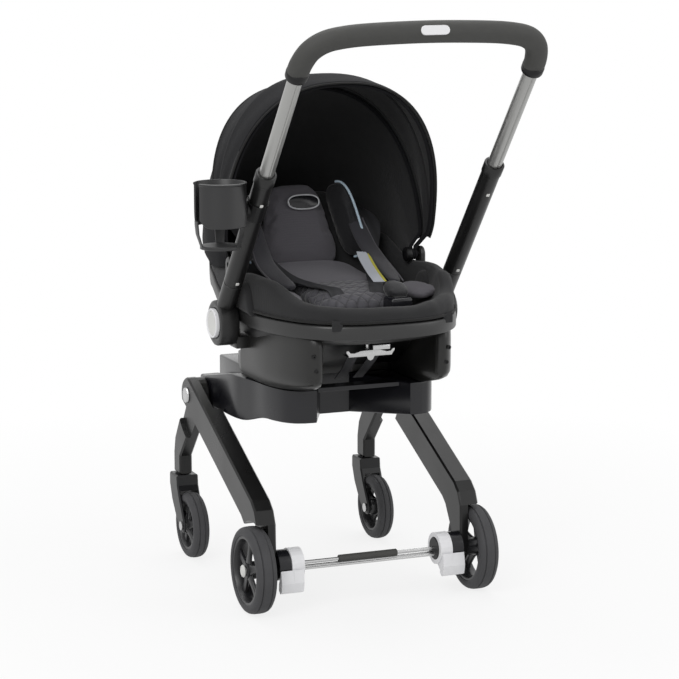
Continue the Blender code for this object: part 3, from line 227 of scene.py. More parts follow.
@dataclass(frozen=True)
class SpacerMesh(Woven):
    """Knitted spacer mesh over foam: small open cells, and stitched grooves that cross in diamonds.

    The real cells are about 2 mm, so they are drawn twice as coarse to show.
    """

    cell_mm: float = 4.0
    diamond_mm: float = 21.0

    def diamonds(self, tree: bpy.types.NodeTree, where: bpy.types.NodeSocket) -> bpy.types.NodeSocket:
        """0 along two sets of crossing stitches and 1 on the plump fields between them."""
        axes = add_node(tree, "ShaderNodeSeparateXYZ", {"Vector": where})
        low = None
        for operation in ("ADD", "SUBTRACT"):
            spot = add_node(tree, "ShaderNodeMath", {0: axes.outputs["X"], 1: axes.outputs["Y"]},
                            operation=operation).outputs[0]
            phase = add_node(tree, "ShaderNodeMath", {0: spot}, operation="MULTIPLY")
            phase.inputs[1].default_value = math.pi * MM_PER_M / self.diamond_mm
            wave = add_node(tree, "ShaderNodeMath", {0: phase.outputs[0]}, operation="SINE").outputs[0]
            rise = add_node(tree, "ShaderNodeMath", {0: wave}, operation="ABSOLUTE").outputs[0]
            low = rise if low is None else add_node(tree, "ShaderNodeMath", {0: low, 1: rise},
                                                    operation="MINIMUM").outputs[0]
        soft = add_node(tree, "ShaderNodeMath", {0: low}, operation="POWER")
        soft.inputs[1].default_value = 0.35
        return soft.outputs[0]

    def dress(self, tree: bpy.types.NodeTree, shader: bpy.types.Node, where: bpy.types.NodeSocket) -> None:
        """Rows of round cells that sink into the surface, with painted shade along the stitched grooves."""
        shader.inputs["Roughness"].default_value = self.roughness
        shader.inputs["Sheen Weight"].default_value = self.sheen
        turned = add_node(tree, "ShaderNodeMapping", {"Vector": where})
        turned.inputs["Rotation"].default_value = (0.0, 0.0, math.radians(45))
        cells = add_node(tree, "ShaderNodeTexVoronoi", {"Vector": turned.outputs["Vector"]},
                         scale=MM_PER_M / self.cell_mm, randomness=0.15)
        plump = self.diamonds(tree, where)
        # The colour follows the grooves' depth: painted shade in the stitched grooves, a little lighter on
        # the plump fields.
        self.paint(tree, shader, plump, 0.55, 1.10)
        pits = add_node(tree, "ShaderNodeMath", {0: cells.outputs["Distance"]}, operation="MULTIPLY")
        pits.inputs[1].default_value = -0.12
        height = add_node(tree, "ShaderNodeMath", {0: pits.outputs[0], 1: plump}, operation="ADD")
        self.bump(tree, shader, height.outputs[0], 0.0035, 0.7)


@dataclass(frozen=True)
class Drawn(Finish):
    """Drawn metal tube or bar: fine lines along its length and a streaked gloss."""

    def dress(self, tree: bpy.types.NodeTree, shader: bpy.types.Node, where: bpy.types.NodeSocket) -> None:
        """Noise stretched along the tube, on colour and roughness."""
        stretch = add_node(tree, "ShaderNodeMapping", {"Vector": where})
        stretch.inputs["Scale"].default_value = (1.0, 0.08, 0.08)
        lines = add_node(tree, "ShaderNodeTexNoise", {"Vector": stretch.outputs["Vector"]},
                         scale=MM_PER_M / self.grain_mm, detail=3.0)
        self.paint(tree, shader, lines.outputs["Fac"], 1 - self.shade, 1 + self.shade)
        self.polish(tree, shader, lines.outputs["Fac"], 0.06, 0.08)


@dataclass(frozen=True)
class Foam(Finish):
    """Closed-cell foam or foamed tyre rubber: a pebbled skin that scatters light."""

    cell_mm: float = 3.0

    def dress(self, tree: bpy.types.NodeTree, shader: bpy.types.Node, where: bpy.types.NodeSocket) -> None:
        """Pebbles in the bump and a mottled, dusty shade."""
        pebbles = add_node(tree, "ShaderNodeTexVoronoi", {"Vector": where}, scale=MM_PER_M / self.cell_mm)
        dust = add_node(tree, "ShaderNodeTexNoise", {"Vector": where}, scale=60.0, detail=4.0)
        self.paint(tree, shader, dust.outputs["Fac"], 1 - self.shade, 1 + self.shade)
        shader.inputs["Roughness"].default_value = self.roughness
        self.bump(tree, shader, pebbles.outputs["Distance"], 0.0004, self.grain_depth)


@dataclass(frozen=True)
class Webbing(Woven):
    """Woven belt webbing: ribs along its length.

    The real ribs are about 3 mm apart, so they are drawn six times as coarse to show.
    """

    rib_mm: float = 18.85

    def dress(self, tree: bpy.types.NodeTree, shader: bpy.types.Node, where: bpy.types.NodeSocket) -> None:
        """Ribs that run along the belt, so they repeat across X."""
        shader.inputs["Roughness"].default_value = self.roughness
        ribs = add_node(tree, "ShaderNodeTexWave", {"Vector": where}, distortion=0.3,
                        scale=2 * math.pi * MM_PER_M / self.rib_mm / WAVE_PHASE)
        # The colour follows the ribs' height: painted shade in their valleys and painted highlight on their
        # crowns.
        self.paint(tree, shader, ribs.outputs["Fac"], 1 - self.heather, 1 + self.heather)
        self.bump(tree, shader, ribs.outputs["Fac"], 0.0003, 0.5)


class Palette:
    """Every finish on the stroller, by what it is and how its surface was made."""

    # Fibres near the surface break up the highlights.
    shell = Finish("glass_filled_polypropylene_moulded", "shell_plastic", "#1e1e1f", 0.40)
    # A satin tool leaves a broad, soft highlight along the lip.
    lip = Finish("polypropylene_satin_moulded", "shell_plastic", "#232323", 0.36)
    # Satin over a large bowed wall, so the lamps show as long soft patches.
    skirt = Finish("abs_satin_moulded", "frame_plastic", "#1a1a19", 0.32, gloss=0.4)
    # Nearly black, with a dry sheen on its edges.
    frame = Finish("glass_filled_nylon_moulded", "frame_plastic", "#141416", 0.30, gloss=0.35)
    # As the frame, with the grain of a blasted tool.
    leg = Finish("glass_filled_nylon_grained", "frame_plastic", "#131313", 0.30, gloss=0.35)
    # A polished tool gives clear reflections.
    gloss = Finish("abs_gloss_moulded", "frame_plastic", "#16161a", 0.22, grain_depth=0.02, gloss=0.4)
    # A warm pale grey that hides its own grain.
    rear = Finish("abs_light_grey_moulded", "grey_plastic", "#b3b4ac", 0.45, shade=0.05)
    # Clean white, a little glossy.
    white = Finish("abs_white_moulded", "white_plastic", "#e6e6e8", 0.32, shade=0.03)
    # Off-white, so a cap stands apart from its white ring.
    cap = Finish("abs_pale_grey_moulded", "grey_plastic", "#d3d3d0", 0.35, shade=0.04)
    # Satin charcoal, lighter than the dark inside of the wheel.
    rim = Finish("nylon_rim_moulded", "shell_plastic", "#202022", 0.36)
    # The deepest black here, for screws and sockets, and as painted shade on the bucket's shadowed faces.
    dark = Finish("nylon_black_moulded", "shell_plastic", "#0d0d0e", 0.42, gloss=0.3)
    # Matt, dusty rubber with a pebbled skin.
    tyre = Foam("tyre_rubber_foamed", "tyre", "#3b3b3d", 0.72, shade=0.18, grain_depth=0.25)
    # Soft and matt, with finer pebbles than a tyre.
    grip = Foam("foam_grip_closed_cell", "grip_foam", "#3b3b39", 0.70, shade=0.12, grain_depth=0.35,
                cell_mm=2.2)
    # A thin textured coat: the tube's long highlight is soft but unbroken.
    tube = Finish("aluminium_powder_coated", "black_tube", "#161616", 0.32, gloss=0.4, grain_mm=0.8,
                  grain_depth=0.08)
    # Satin metal with faint lines along its length.
    silver = Drawn("aluminium_satin_anodised", "silver_tube", "#a3a3a1", 0.34, metallic=0.85, grain_mm=2.0,
                   shade=0.06)
    # Bright plating that mirrors its surroundings.
    steel = Drawn("steel_zinc_plated", "steel", "#bcbcbc", 0.24, metallic=1.0, grain_mm=2.0, shade=0.05)
    # Flat charcoal cloth that scatters light.
    canopy = Woven("canopy_polyester_woven", "black_fabric", "#29292a", 0.88, heather=0.18, sheen=0.10)
    # Almost black inside the hood.
    lining = Woven("canopy_lining_polyester", "black_fabric", "#0f0f12", 0.95, heather=0.15, sheen=0.02)
    # A tight tape that edges the cloth with a darker line.
    binding = Woven("binding_tape_woven", "black_fabric", "#1a1a1a", 0.85, heather=0.15, sheen=0.1)
    # As the canopy, softened by the padding below.
    cover = Woven("seat_cover_polyester_woven", "black_fabric", "#272728", 0.90, heather=0.18, sheen=0.10)
    # Grey yarns of two shades.
    pad = Woven("pad_polyester_heather", "grey_fabric", "#5b595e", 0.90, heather=0.20, sheen=0.15)
    # Smooth knitted cloth with a silky sheen on its curves.
    wing = Woven("wing_jersey_knitted", "black_fabric", "#1a1a1d", 0.62, heather=0.12, sheen=0.30)
    # The lightest grey in the seat.
    insert = Woven("insert_polyester_heather", "grey_fabric", "#646268", 0.90, heather=0.16, sheen=0.15)
    # A dark knitted edge to the insert.
    band = Woven("insert_band_knitted", "grey_fabric", "#343338", 0.85, heather=0.12, sheen=0.25)
    # A hard pale line round the badge.
    trim = Finish("badge_trim_moulded", "grey_plastic", "#c4c5c8", 0.30, shade=0.04)
    # Plump fields between stitched grooves, which are darkened with painted shade.
    quilt = SpacerMesh("quilt_spacer_mesh", "grey_fabric", "#4b4a4f", 0.9, heather=0.2, sheen=0.2)
    # A thin pale blue line.
    piping = Woven("piping_pale_blue", "grey_fabric", "#c3d6e4", 0.75, heather=0.06, sheen=0.1)
    # Ribs that run along the belt, with painted shade in their valleys and painted highlight on their crowns.
    belt = Webbing("harness_webbing", "webbing", "#222225", 0.75, heather=0.3)
    # Cool pale satin, and its yellow edge.
    label = Woven("label_satin_pale", "grey_fabric", "#c3c7cf", 0.7, heather=0.06, sheen=0.1)
    label_edge = Woven("label_satin_yellow", "grey_fabric", "#c8c04a", 0.7, heather=0.08, sheen=0.1)


# Shapes are written about the stroller's centre plane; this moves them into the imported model's frame.
DATUM = Vector((0.0429, 0.0885, 0.0))


def between(table: Sequence[tuple[float, float]], value: float) -> float:
    """Height read from a table of (place, height) pairs, eased from one to the next."""
    if value <= table[0][0]:
        return table[0][1]
    for (a, low), (b, high) in zip(table, table[1:]):
        if value <= b:
            t = (value - a) / (b - a)
            return low + (high - low) * t * t * (3 - 2 * t)
    return table[-1][1]


def arc(centre: Point, radius: float, start: float, stop: float, steps: int) -> list[tuple[float, float]]:
    """Points of an arc in degrees, both ends included."""
    turns = [math.radians(start + (stop - start) * k / steps) for k in range(steps + 1)]
    return [(centre[0] + radius * math.cos(t), centre[1] + radius * math.sin(t)) for t in turns]


def smooth_path(points: Sequence[Point], steps: int) -> list[Vector]:
    """Points along a Catmull-Rom curve through the given ones."""
    known = [Vector(p) for p in points]
    ends = [known[0] * 2 - known[1]] + known + [known[-1] * 2 - known[-2]]
    path = []
    for a, b, c, d in zip(ends, ends[1:], ends[2:], ends[3:]):
        for step in range(steps):
            t = step / steps
            path.append(0.5 * (2 * b + (c - a) * t + (2 * a - 5 * b + 4 * c - d) * t * t
                               + (3 * b - a - 3 * c + d) * t ** 3))
    return path + [known[-1]]


def mirrored(half: Sequence[tuple[float, float]]) -> list[tuple[float, float]]:
    """Both halves of an outline given for x > 0, in one loop."""
    return list(half) + [(-x, y) for x, y in reversed(half) if x]


def lofted(rings: Sequence[Ring], closed: bool = True, looped: bool = False, capped: bool = True) -> BMesh:
    """Skin sections of equal count, from a grid whose rows take the sections' places.

    Args:
        rings: the sections in order.
        closed: each section runs back to its start.
        looped: the last section joins the first.
        capped: fill the open ends of closed sections.

    Returns:
        The mesh, with its faces pointing outwards where it is closed.
    """
    count, rows = len(rings[0]), len(rings)
    columns, lines = count + closed, rows + looped
    mesh = bmesh.new()
    bmesh.ops.create_grid(mesh, x_segments=columns - 1, y_segments=lines - 1, size=1.0)
    for vert in mesh.verts:
        across = round((vert.co.x + 1) / 2 * (columns - 1))
        along = round((vert.co.y + 1) / 2 * (lines - 1))
        vert.co = Vector(rings[along % rows][across % count])
    bmesh.ops.remove_doubles(mesh, verts=mesh.verts, dist=1e-6)
    if closed and capped and not looped:
        bmesh.ops.holes_fill(mesh, edges=[edge for edge in mesh.edges if edge.is_boundary], sides=0)
    bmesh.ops.recalc_face_normals(mesh, faces=mesh.faces)
    return mesh


def turned(axis: Axis, centre: Point, profile: Sequence[tuple[float, float]], steps: int = 48,
           looped: bool = False, side: int = 1) -> BMesh:
    """Spin a profile of (depth, radius) points right round an axis.

    Args:
        axis: the axis it turns about.
        centre: the axis's place in the other two coordinates.
        profile: points of the half section, from one end of the axis to the other.
        steps: sides of the turned shape.
        looped: the profile is a closed ring, such as a tyre's section.
        side: -1 to turn its mirror image, for the left side.

    Returns:
        The mesh, with its open ends filled.
    """
    mesh = bmesh.new()
    verts = [mesh.verts.new(axis.place(centre[0] + radius, centre[1], side * depth))
             for depth, radius in profile]
    pairs = list(zip(verts, verts[1:])) + ([(verts[-1], verts[0])] if looped else [])
    edges = [mesh.edges.new(pair) for pair in pairs]
    bmesh.ops.spin(mesh, geom=verts + edges, cent=axis.place(centre[0], centre[1], 0.0), axis=axis.value,
                   angle=2 * math.pi, steps=steps, use_merge=True, use_duplicate=False)
    bmesh.ops.remove_doubles(mesh, verts=mesh.verts, dist=1e-6)
    bmesh.ops.holes_fill(mesh, edges=[edge for edge in mesh.edges if edge.is_boundary], sides=0)
    bmesh.ops.recalc_face_normals(mesh, faces=mesh.faces)
    return mesh


def slab(axis: Axis, outline: Sequence[tuple[float, float]], low: float, high: float, bevel: float = 0.0,
         segments: int = 3) -> BMesh:
    """Extrude an outline along an axis from low to high and round the edges of both faces."""
    mesh = bmesh.new()
    face = mesh.faces.new([mesh.verts.new(axis.place(a, b, low)) for a, b in outline])
    made = bmesh.ops.extrude_face_region(mesh, geom=[face])["geom"]
    bmesh.ops.translate(mesh, verts=[item for item in made if isinstance(item, bmesh.types.BMVert)],
                        vec=Vector(axis.value) * (high - low))
    mesh.normal_update()
    if bevel:
        caps = [each for each in mesh.faces if len(each.verts) == len(outline)]
        round_edges(mesh, list({edge for each in caps for edge in each.edges}), bevel, segments)
    bmesh.ops.recalc_face_normals(mesh, faces=mesh.faces)
    return mesh


def block(low: Point, high: Point, bevel: float = 0.0, segments: int = 3) -> BMesh:
    """A box between two corners, with all its edges rounded."""
    mesh = bmesh.new()
    bmesh.ops.create_cube(mesh, size=1.0)
    bmesh.ops.scale(mesh, vec=[b - a for a, b in zip(low, high)], verts=mesh.verts)
    bmesh.ops.translate(mesh, vec=[(a + b) / 2 for a, b in zip(low, high)], verts=mesh.verts)
    if bevel:
        round_edges(mesh, mesh.edges[:], bevel, segments)
    return mesh


def round_edges(mesh: BMesh, edges: list, width: float, segments: int = 3) -> None:
    """Round edges to a width."""
    bmesh.ops.bevel(mesh, geom=edges, offset=width, segments=segments, profile=0.5, affect="EDGES",
                    clamp_overlap=True, material=-1)


def swept(path: Sequence[Point], across: Point, wide: float | Callable[[float], float],
          deep: float | Callable[[float], float], steps: int = 24, power: float = 2.0) -> BMesh:
    """Rounded sections carried along a path.

    Args:
        path: the points it follows.
        across: a direction that each section's width keeps to.
        wide: half-width of a section, or a function of the share of the path that gives it.
        deep: half-depth of a section, in the same two ways.
        steps: sides of a section.
        power: 2 for an ellipse, more for a squarer section.

    Returns:
        The mesh.
    """
    rings, sure = [], Vector(across)
    for number, spot in enumerate(path):
        ahead = Vector(path[min(number + 1, len(path) - 1)]) - Vector(path[max(number - 1, 0)])
        ahead.normalize()
        first = (sure - ahead * sure.dot(ahead)).normalized()
        second = ahead.cross(first)
        share = number / (len(path) - 1)
        half = [size(share) if callable(size) else size for size in (wide, deep)]
        ring = []
        for k in range(steps):
            c, s = math.cos(2 * math.pi * k / steps), math.sin(2 * math.pi * k / steps)
            ring.append(Vector(spot) + first * half[0] * math.copysign(abs(c) ** (2 / power), c)
                        + second * half[1] * math.copysign(abs(s) ** (2 / power), s))
        rings.append(ring)
    return lofted(rings)


def hoop(loop: Sequence[Point], up: Point, wide: float, deep: float, steps: int = 10) -> BMesh:
    """A rounded strip round a closed loop; wide lies across the loop's plane and deep along up."""
    rings, rise = [], Vector(up).normalized()
    for number, spot in enumerate(loop):
        ahead = (Vector(loop[(number + 1) % len(loop)]) - Vector(loop[number - 1])).normalized()
        out = ahead.cross(rise).normalized()
        high = out.cross(ahead)
        rings.append([Vector(spot) + out * wide * math.cos(2 * math.pi * k / steps)
                      + high * deep * math.sin(2 * math.pi * k / steps) for k in range(steps)])
    return lofted(rings, looped=True)


def joined(meshes: Sequence[BMesh]) -> BMesh:
    """Put several meshes in the first one."""
    first = meshes[0]
    for other in meshes[1:]:
        spare = bpy.data.meshes.new("spare")
        other.to_mesh(spare)
        other.free()
        first.from_mesh(spare)
        bpy.data.meshes.remove(spare)
    return first


def place(name: str, mesh: BMesh, finish: Finish, body: str | None = "root", replaced: Sequence[str] = (),
          levels: int = 0, wall: float = 0.0, angle: float = SMOOTH_ANGLE) -> bpy.types.Object:
    """Make a mesh a piece that rides on a body.

    Args:
        name: the piece's name.
        mesh: its shape, written about the centre plane.
        finish: what it is made of.
        body: the body that carries it, or None for a piece that rides on no body.
        replaced: nodes that it stands for.
        levels: levels of subdivision.
        wall: thickness given to an open sheet, inwards.
        angle: edges sharper than this stay sharp.

    Returns:
        The piece.
    """
    bmesh.ops.translate(mesh, verts=mesh.verts, vec=DATUM)
    data = bpy.data.meshes.new(name)
    mesh.to_mesh(data)
    mesh.free()
    piece = bpy.data.objects.new(name, data)
    bpy.context.collection.objects.link(piece)
    data.materials.append(finish.build())
    data.shade_smooth()
    data.set_sharp_from_angle(angle=angle)
    if wall:
        solid = piece.modifiers.new("wall", "SOLIDIFY")
        solid.thickness, solid.offset, solid.use_even_offset = wall, -1.0, False
    if levels:
        smooth = piece.modifiers.new("smooth", "SUBSURF")
        smooth.levels = smooth.render_levels = levels
    if body:
        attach(piece, body)
    if replaced:
        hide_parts(*replaced)
    log.info("%s rides on %s", name, body)
    return piece


def dress(finish: Finish, *names: str, bevel: float = 0.0008) -> None:
    """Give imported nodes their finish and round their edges, leaving their meshes as they are."""
    for name in names:
        node = bpy.data.objects[name]
        node.data.materials.clear()
        node.data.materials.append(finish.build())
        weld = node.modifiers.new("weld", "WELD")
        weld.merge_threshold = 0.00002
        edge = node.modifiers.new("edges", "BEVEL")
        edge.width, edge.segments, edge.limit_method = bevel, 2, "ANGLE"
        edge.angle_limit, edge.harden_normals = math.radians(32), True
        log.info("%s keeps its shape and takes %s", name, finish.name)


@dataclass
class Studio:
    """Camera, soft lights, pale floor and a white surround."""

    eye: Point = (-1.6184, -4.0227, 1.2047)
    sight: Point = (0.37345, 0.91072, -0.17640)
    lens: float = 131.14
    floor_size: float = 30.0
    glow: float = 0.50

    def camera(self) -> None:
        """Put the camera where the photograph was taken from."""
        data = bpy.data.cameras.new("camera")
        data.lens, data.sensor_width = self.lens, 36.0
        data.clip_end = 100.0
        camera = bpy.data.objects.new("camera", data)
        bpy.context.collection.objects.link(camera)
        camera.location = Vector(self.eye) + DATUM
        camera.rotation_euler = Vector(self.sight).to_track_quat("-Z", "Y").to_euler()
        bpy.context.scene.camera = camera

    def lamp(self, name: str, spot: Point, size: float, power: float) -> None:
        """A square soft box that faces the middle of the stroller."""
        data = bpy.data.lights.new(name, "AREA")
        data.size, data.energy = size, power
        lamp = bpy.data.objects.new(name, data)
        bpy.context.collection.objects.link(lamp)
        lamp.location = Vector(spot) + DATUM
        lamp.rotation_euler = (Vector((0.0, 0.0, 0.5)) - Vector(spot)).to_track_quat("-Z", "Y").to_euler()

    def surround(self) -> None:
        """White to the camera and in reflections, and a plain soft glow for light."""
        world = bpy.data.worlds.new("surround")
        bpy.context.scene.world = world
        world.use_nodes = True
        tree = world.node_tree
        tree.nodes.clear()
        seen = self.seen(tree)
        strength = add_node(tree, "ShaderNodeMapRange", {"Value": seen}, to_min=self.glow, to_max=1.0)
        back = add_node(tree, "ShaderNodeBackground", {"Strength": strength.outputs["Result"]},
                        color=(1.0, 1.0, 1.0, 1.0))
        add_node(tree, "ShaderNodeOutputWorld", {"Surface": back.outputs[0]})

    def seen(self, tree: bpy.types.NodeTree) -> bpy.types.NodeSocket:
        """1 for a ray from the camera, a gloss or glass, and 0 for the rays that carry light."""
        path = add_node(tree, "ShaderNodeLightPath").outputs
        seen = path["Is Camera Ray"]
        for kind in ("Is Glossy Ray", "Is Transmission Ray"):
            seen = add_node(tree, "ShaderNodeMath", {0: seen, 1: path[kind]}, operation="MAXIMUM").outputs[0]
        return seen

    def floor(self) -> None:
        """A pale floor that keeps the stroller's shadow and runs into the white surround."""
        mesh = bmesh.new()
        bmesh.ops.create_grid(mesh, x_segments=1, y_segments=1, size=self.floor_size / 2)
        data = bpy.data.meshes.new("floor")
        mesh.to_mesh(data)
        mesh.free()
        floor = bpy.data.objects.new("floor", data)
        bpy.context.collection.objects.link(floor)
        material = bpy.data.materials.new("painted_floor")
        material.use_nodes = True
        tree = material.node_tree
        tree.nodes.clear()
        paint = add_node(tree, "ShaderNodeBsdfDiffuse", color=linear("#e9e9e9"))
        white = add_node(tree, "ShaderNodeEmission", color=(1.0, 1.0, 1.0, 1.0), strength=1.0)
        where = add_node(tree, "ShaderNodeTexCoord").outputs["Object"]
        reach = add_node(tree, "ShaderNodeVectorMath", {0: where}, operation="LENGTH").outputs["Value"]
        fade = add_node(tree, "ShaderNodeMapRange", {"Value": reach}, from_min=0.6, from_max=1.6, to_min=0.82,
                        to_max=1.0).outputs["Result"]
        share = add_node(tree, "ShaderNodeMath", {0: self.seen(tree), 1: fade}, operation="MULTIPLY")
        mixed = add_node(tree, "ShaderNodeMixShader", {0: share.outputs[0], 1: paint.outputs[0],
                                                       2: white.outputs[0]})
        add_node(tree, "ShaderNodeOutputMaterial", {"Surface": mixed.outputs[0]})
        data.materials.append(material)

    def build(self) -> None:
        """Make everything round the stroller but the camera."""
        self.surround()
        self.floor()
        self.lamp("key_lamp", (-2.6, -2.6, 3.0), 2.4, 78.0)
        self.lamp("fill_lamp", (2.8, -2.2, 1.8), 2.4, 24.0)
        self.lamp("top_lamp", (0.2, 0.9, 3.4), 2.6, 46.0)


@dataclass
class Canopy:
    """The hood: three fabric panels on two bows, with piping on its seams."""

    pivot_y: float = -0.0167
    pivot_z: float = 0.575
    half: float = 0.200
    rise: float = 0.3243
    belly: float = 0.0629
    power: float = 2.414
    tuck: float = 4.52
    front: float = math.radians(-13.67)
    seam: float = math.radians(4.0)
    middle: float = math.radians(21.63)
    rear: float = math.radians(73.35)
    hem: tuple = ((0.03, 103.0), (0.08, 100.0), (0.13, 91.0), (0.165, 85.0), (0.20, 82.0), (0.235, 80.0),
                  (0.262, 76.0), (0.285, 73.8), (0.33, 73.35))
    cloth: float = 0.0016
    steps: int = 30

    def arch(self, shrink: float, start: float = 0.030) -> list[tuple[float, float]]:
        """The arch as (x, s) from the right pivot over the top to the left, drawn in by shrink."""
        half = []
        for k in range(6):
            s = start + (self.belly - start) * k / 6
            half.append((self.half - shrink - self.tuck * (self.belly - s) ** 2, s))
        for k in range(self.steps):
            t = math.pi / 2 * k / self.steps
            half.append(((self.half - shrink) * math.cos(t) ** (2 / self.power),
                         self.belly + (self.rise - shrink - self.belly) * math.sin(t) ** (2 / self.power)))
        return half + [(0.0, self.rise - shrink)] + [(-x, s) for x, s in reversed(half)]

    def swung(self, x: float, s: float, turn: float) -> Vector:
        """Place of a point of the arch when it leans back by an angle."""
        return Vector((x, self.pivot_y + s * math.sin(turn), self.pivot_z + s * math.cos(turn)))

    def panel(self, name: str, first: float, last: Callable[[float], float], shrink: Callable[[float], float],
              body: str | None, replaced: str, rows: int = 14, start: float = 0.030) -> bpy.types.Object:
        """One continuous fabric sheet between two angles, drawn in between the bows, with its lining."""
        rings = []
        for k in range(rows + 1):
            share = k / rows
            ring = []
            for x, s in self.arch(shrink(share), start):
                turn = first + (last(s) - first) * share
                wave = 0.0009 * math.sin(9.0 * s / self.rise + 5.0 * share) * math.sin(math.pi * share)
                flare = 1.0 + wave / max(s, 0.05)
                ring.append(self.swung(x * flare, s * flare, turn))
            rings.append(ring)
        mesh = lofted(rings, closed=False, capped=False)
        area = sum(face.calc_area() for face in mesh.faces)
        if mesh.faces[len(mesh.faces) // 2].normal.dot(Vector((0.0, 0.0, 1.0))) < 0:
            bmesh.ops.reverse_faces(mesh, faces=mesh.faces)
        sheet = place(name, mesh, Palette.canopy, body, [replaced], wall=self.cloth)
        sheet.data.materials.append(Palette.lining.build())
        sheet.modifiers["wall"].material_offset = 1
        return sheet

    def rib(self, name: str, turn: float, shrink: float, wide: float, deep: float, finish: Finish, body: str,
            replaced: Sequence[str] = (), start: float = 0.030, power: float = 2.0) -> None:
        """A rounded strip that follows the arch: a seam's piping, the rim's tape or a bow's sleeve."""
        path = [self.swung(x, s, turn) for x, s in self.arch(shrink, start)]
        across = (0.0, math.cos(turn), -math.sin(turn))
        place(name, swept(path, across, wide, deep, 12, power), finish, body, replaced)

    def bow(self, name: str, turn: float, shrink: float, eye_x: float, body: str) -> None:
        """A moulded bow in a fabric sleeve, with a round eye over the pivot at both ends."""
        path = [(x, s) for x, s in self.arch(shrink, 0.038)]
        near = [(eye_x, 0.004), (eye_x, 0.0135), (eye_x + 0.0075, 0.0225)]
        spots = near + path + [(-x, s) for x, s in reversed(near)]
        spots = [self.swung(x, s, turn) for x, s in spots]
        across = (0.0, math.cos(turn), -math.sin(turn))
        parts = [swept(spots, across, 0.0050, 0.0030, 12, 2.6)]
        for side, _ in SIDES:
            ends = sorted((side * eye_x - 0.0024, side * eye_x + 0.0024))
            ring = [(ends[0], 0.0055), (ends[1], 0.0055), (ends[1], 0.0092), (ends[1] - 0.0008, 0.0100),
                    (ends[0] + 0.0008, 0.0100), (ends[0], 0.0092)]
            parts.append(turned(Axis.X, (self.pivot_y, self.pivot_z), ring, 32, looped=True))
        place(f"{name}_bow_sleeve", joined(parts), Palette.lining, body, [f"{name}_bow"])

    def build(self) -> None:
        """Panels from the rear forwards, then the bows, seams and knobs."""
        rear = self.panel("hood_rear_fabric", self.middle - 0.050,
                          lambda s: math.radians(between(self.hem, s)),
                          lambda t: 0.0052 + 0.0133 * min(1.0, 3.0 * t) ** 0.8,
                          None, "canopy_rear_panel", rows=34)
        top = Vector(self.swung(0.0, 0.20, self.middle)) + DATUM
        low = Vector(self.swung(0.0, 0.20, self.rear)) + DATUM
        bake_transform(rear)
        self.panel("hood_middle_fabric", self.seam - 0.012, lambda s: self.middle,
                   lambda t: 0.0030 + 0.0016 * math.sin(math.pi * t), "canopy_mid", "canopy_mid_panel")
        self.panel("hood_front_fabric", self.front, lambda s: self.seam,
                   lambda t: 0.0012 * math.sin(math.pi * t), "canopy_front", "canopy_front_panel")
        lean = math.radians(1.6)
        self.bow("canopy_front", self.front + lean, 0.0068, 0.1695, "canopy_front")
        self.bow("canopy_mid", self.middle - lean, 0.0118, 0.1635, "canopy_mid")
        self.rib("hood_front_binding", self.front + 0.006, 0.0004, 0.0042, 0.0019, Palette.binding,
                 "canopy_front", power=3.0)
        self.rib("hood_front_seam", self.seam - 0.004, 0.0006, 0.0016, 0.0014, Palette.canopy, "canopy_front")
        self.rib("hood_middle_piping", self.middle - 0.004, 0.0024, 0.0024, 0.0028, Palette.binding,
                 "canopy_mid")
        for side, name in SIDES:
            profile = [(0.1495, 0.0), (0.1495, 0.0085), (0.1503, 0.0112), (0.1520, 0.0128), (0.1590, 0.0130),
                       (0.1602, 0.0126), (0.1605, 0.0110), (0.1605, 0.0045), (0.1855, 0.0045), (0.1855, 0.0)]
            mesh = turned(Axis.X, (self.pivot_y, self.pivot_z), profile, 40, side=side)
            place(f"hood_knob_{name}", mesh, Palette.dark, "root", [f"canopy_knob_{name}"])


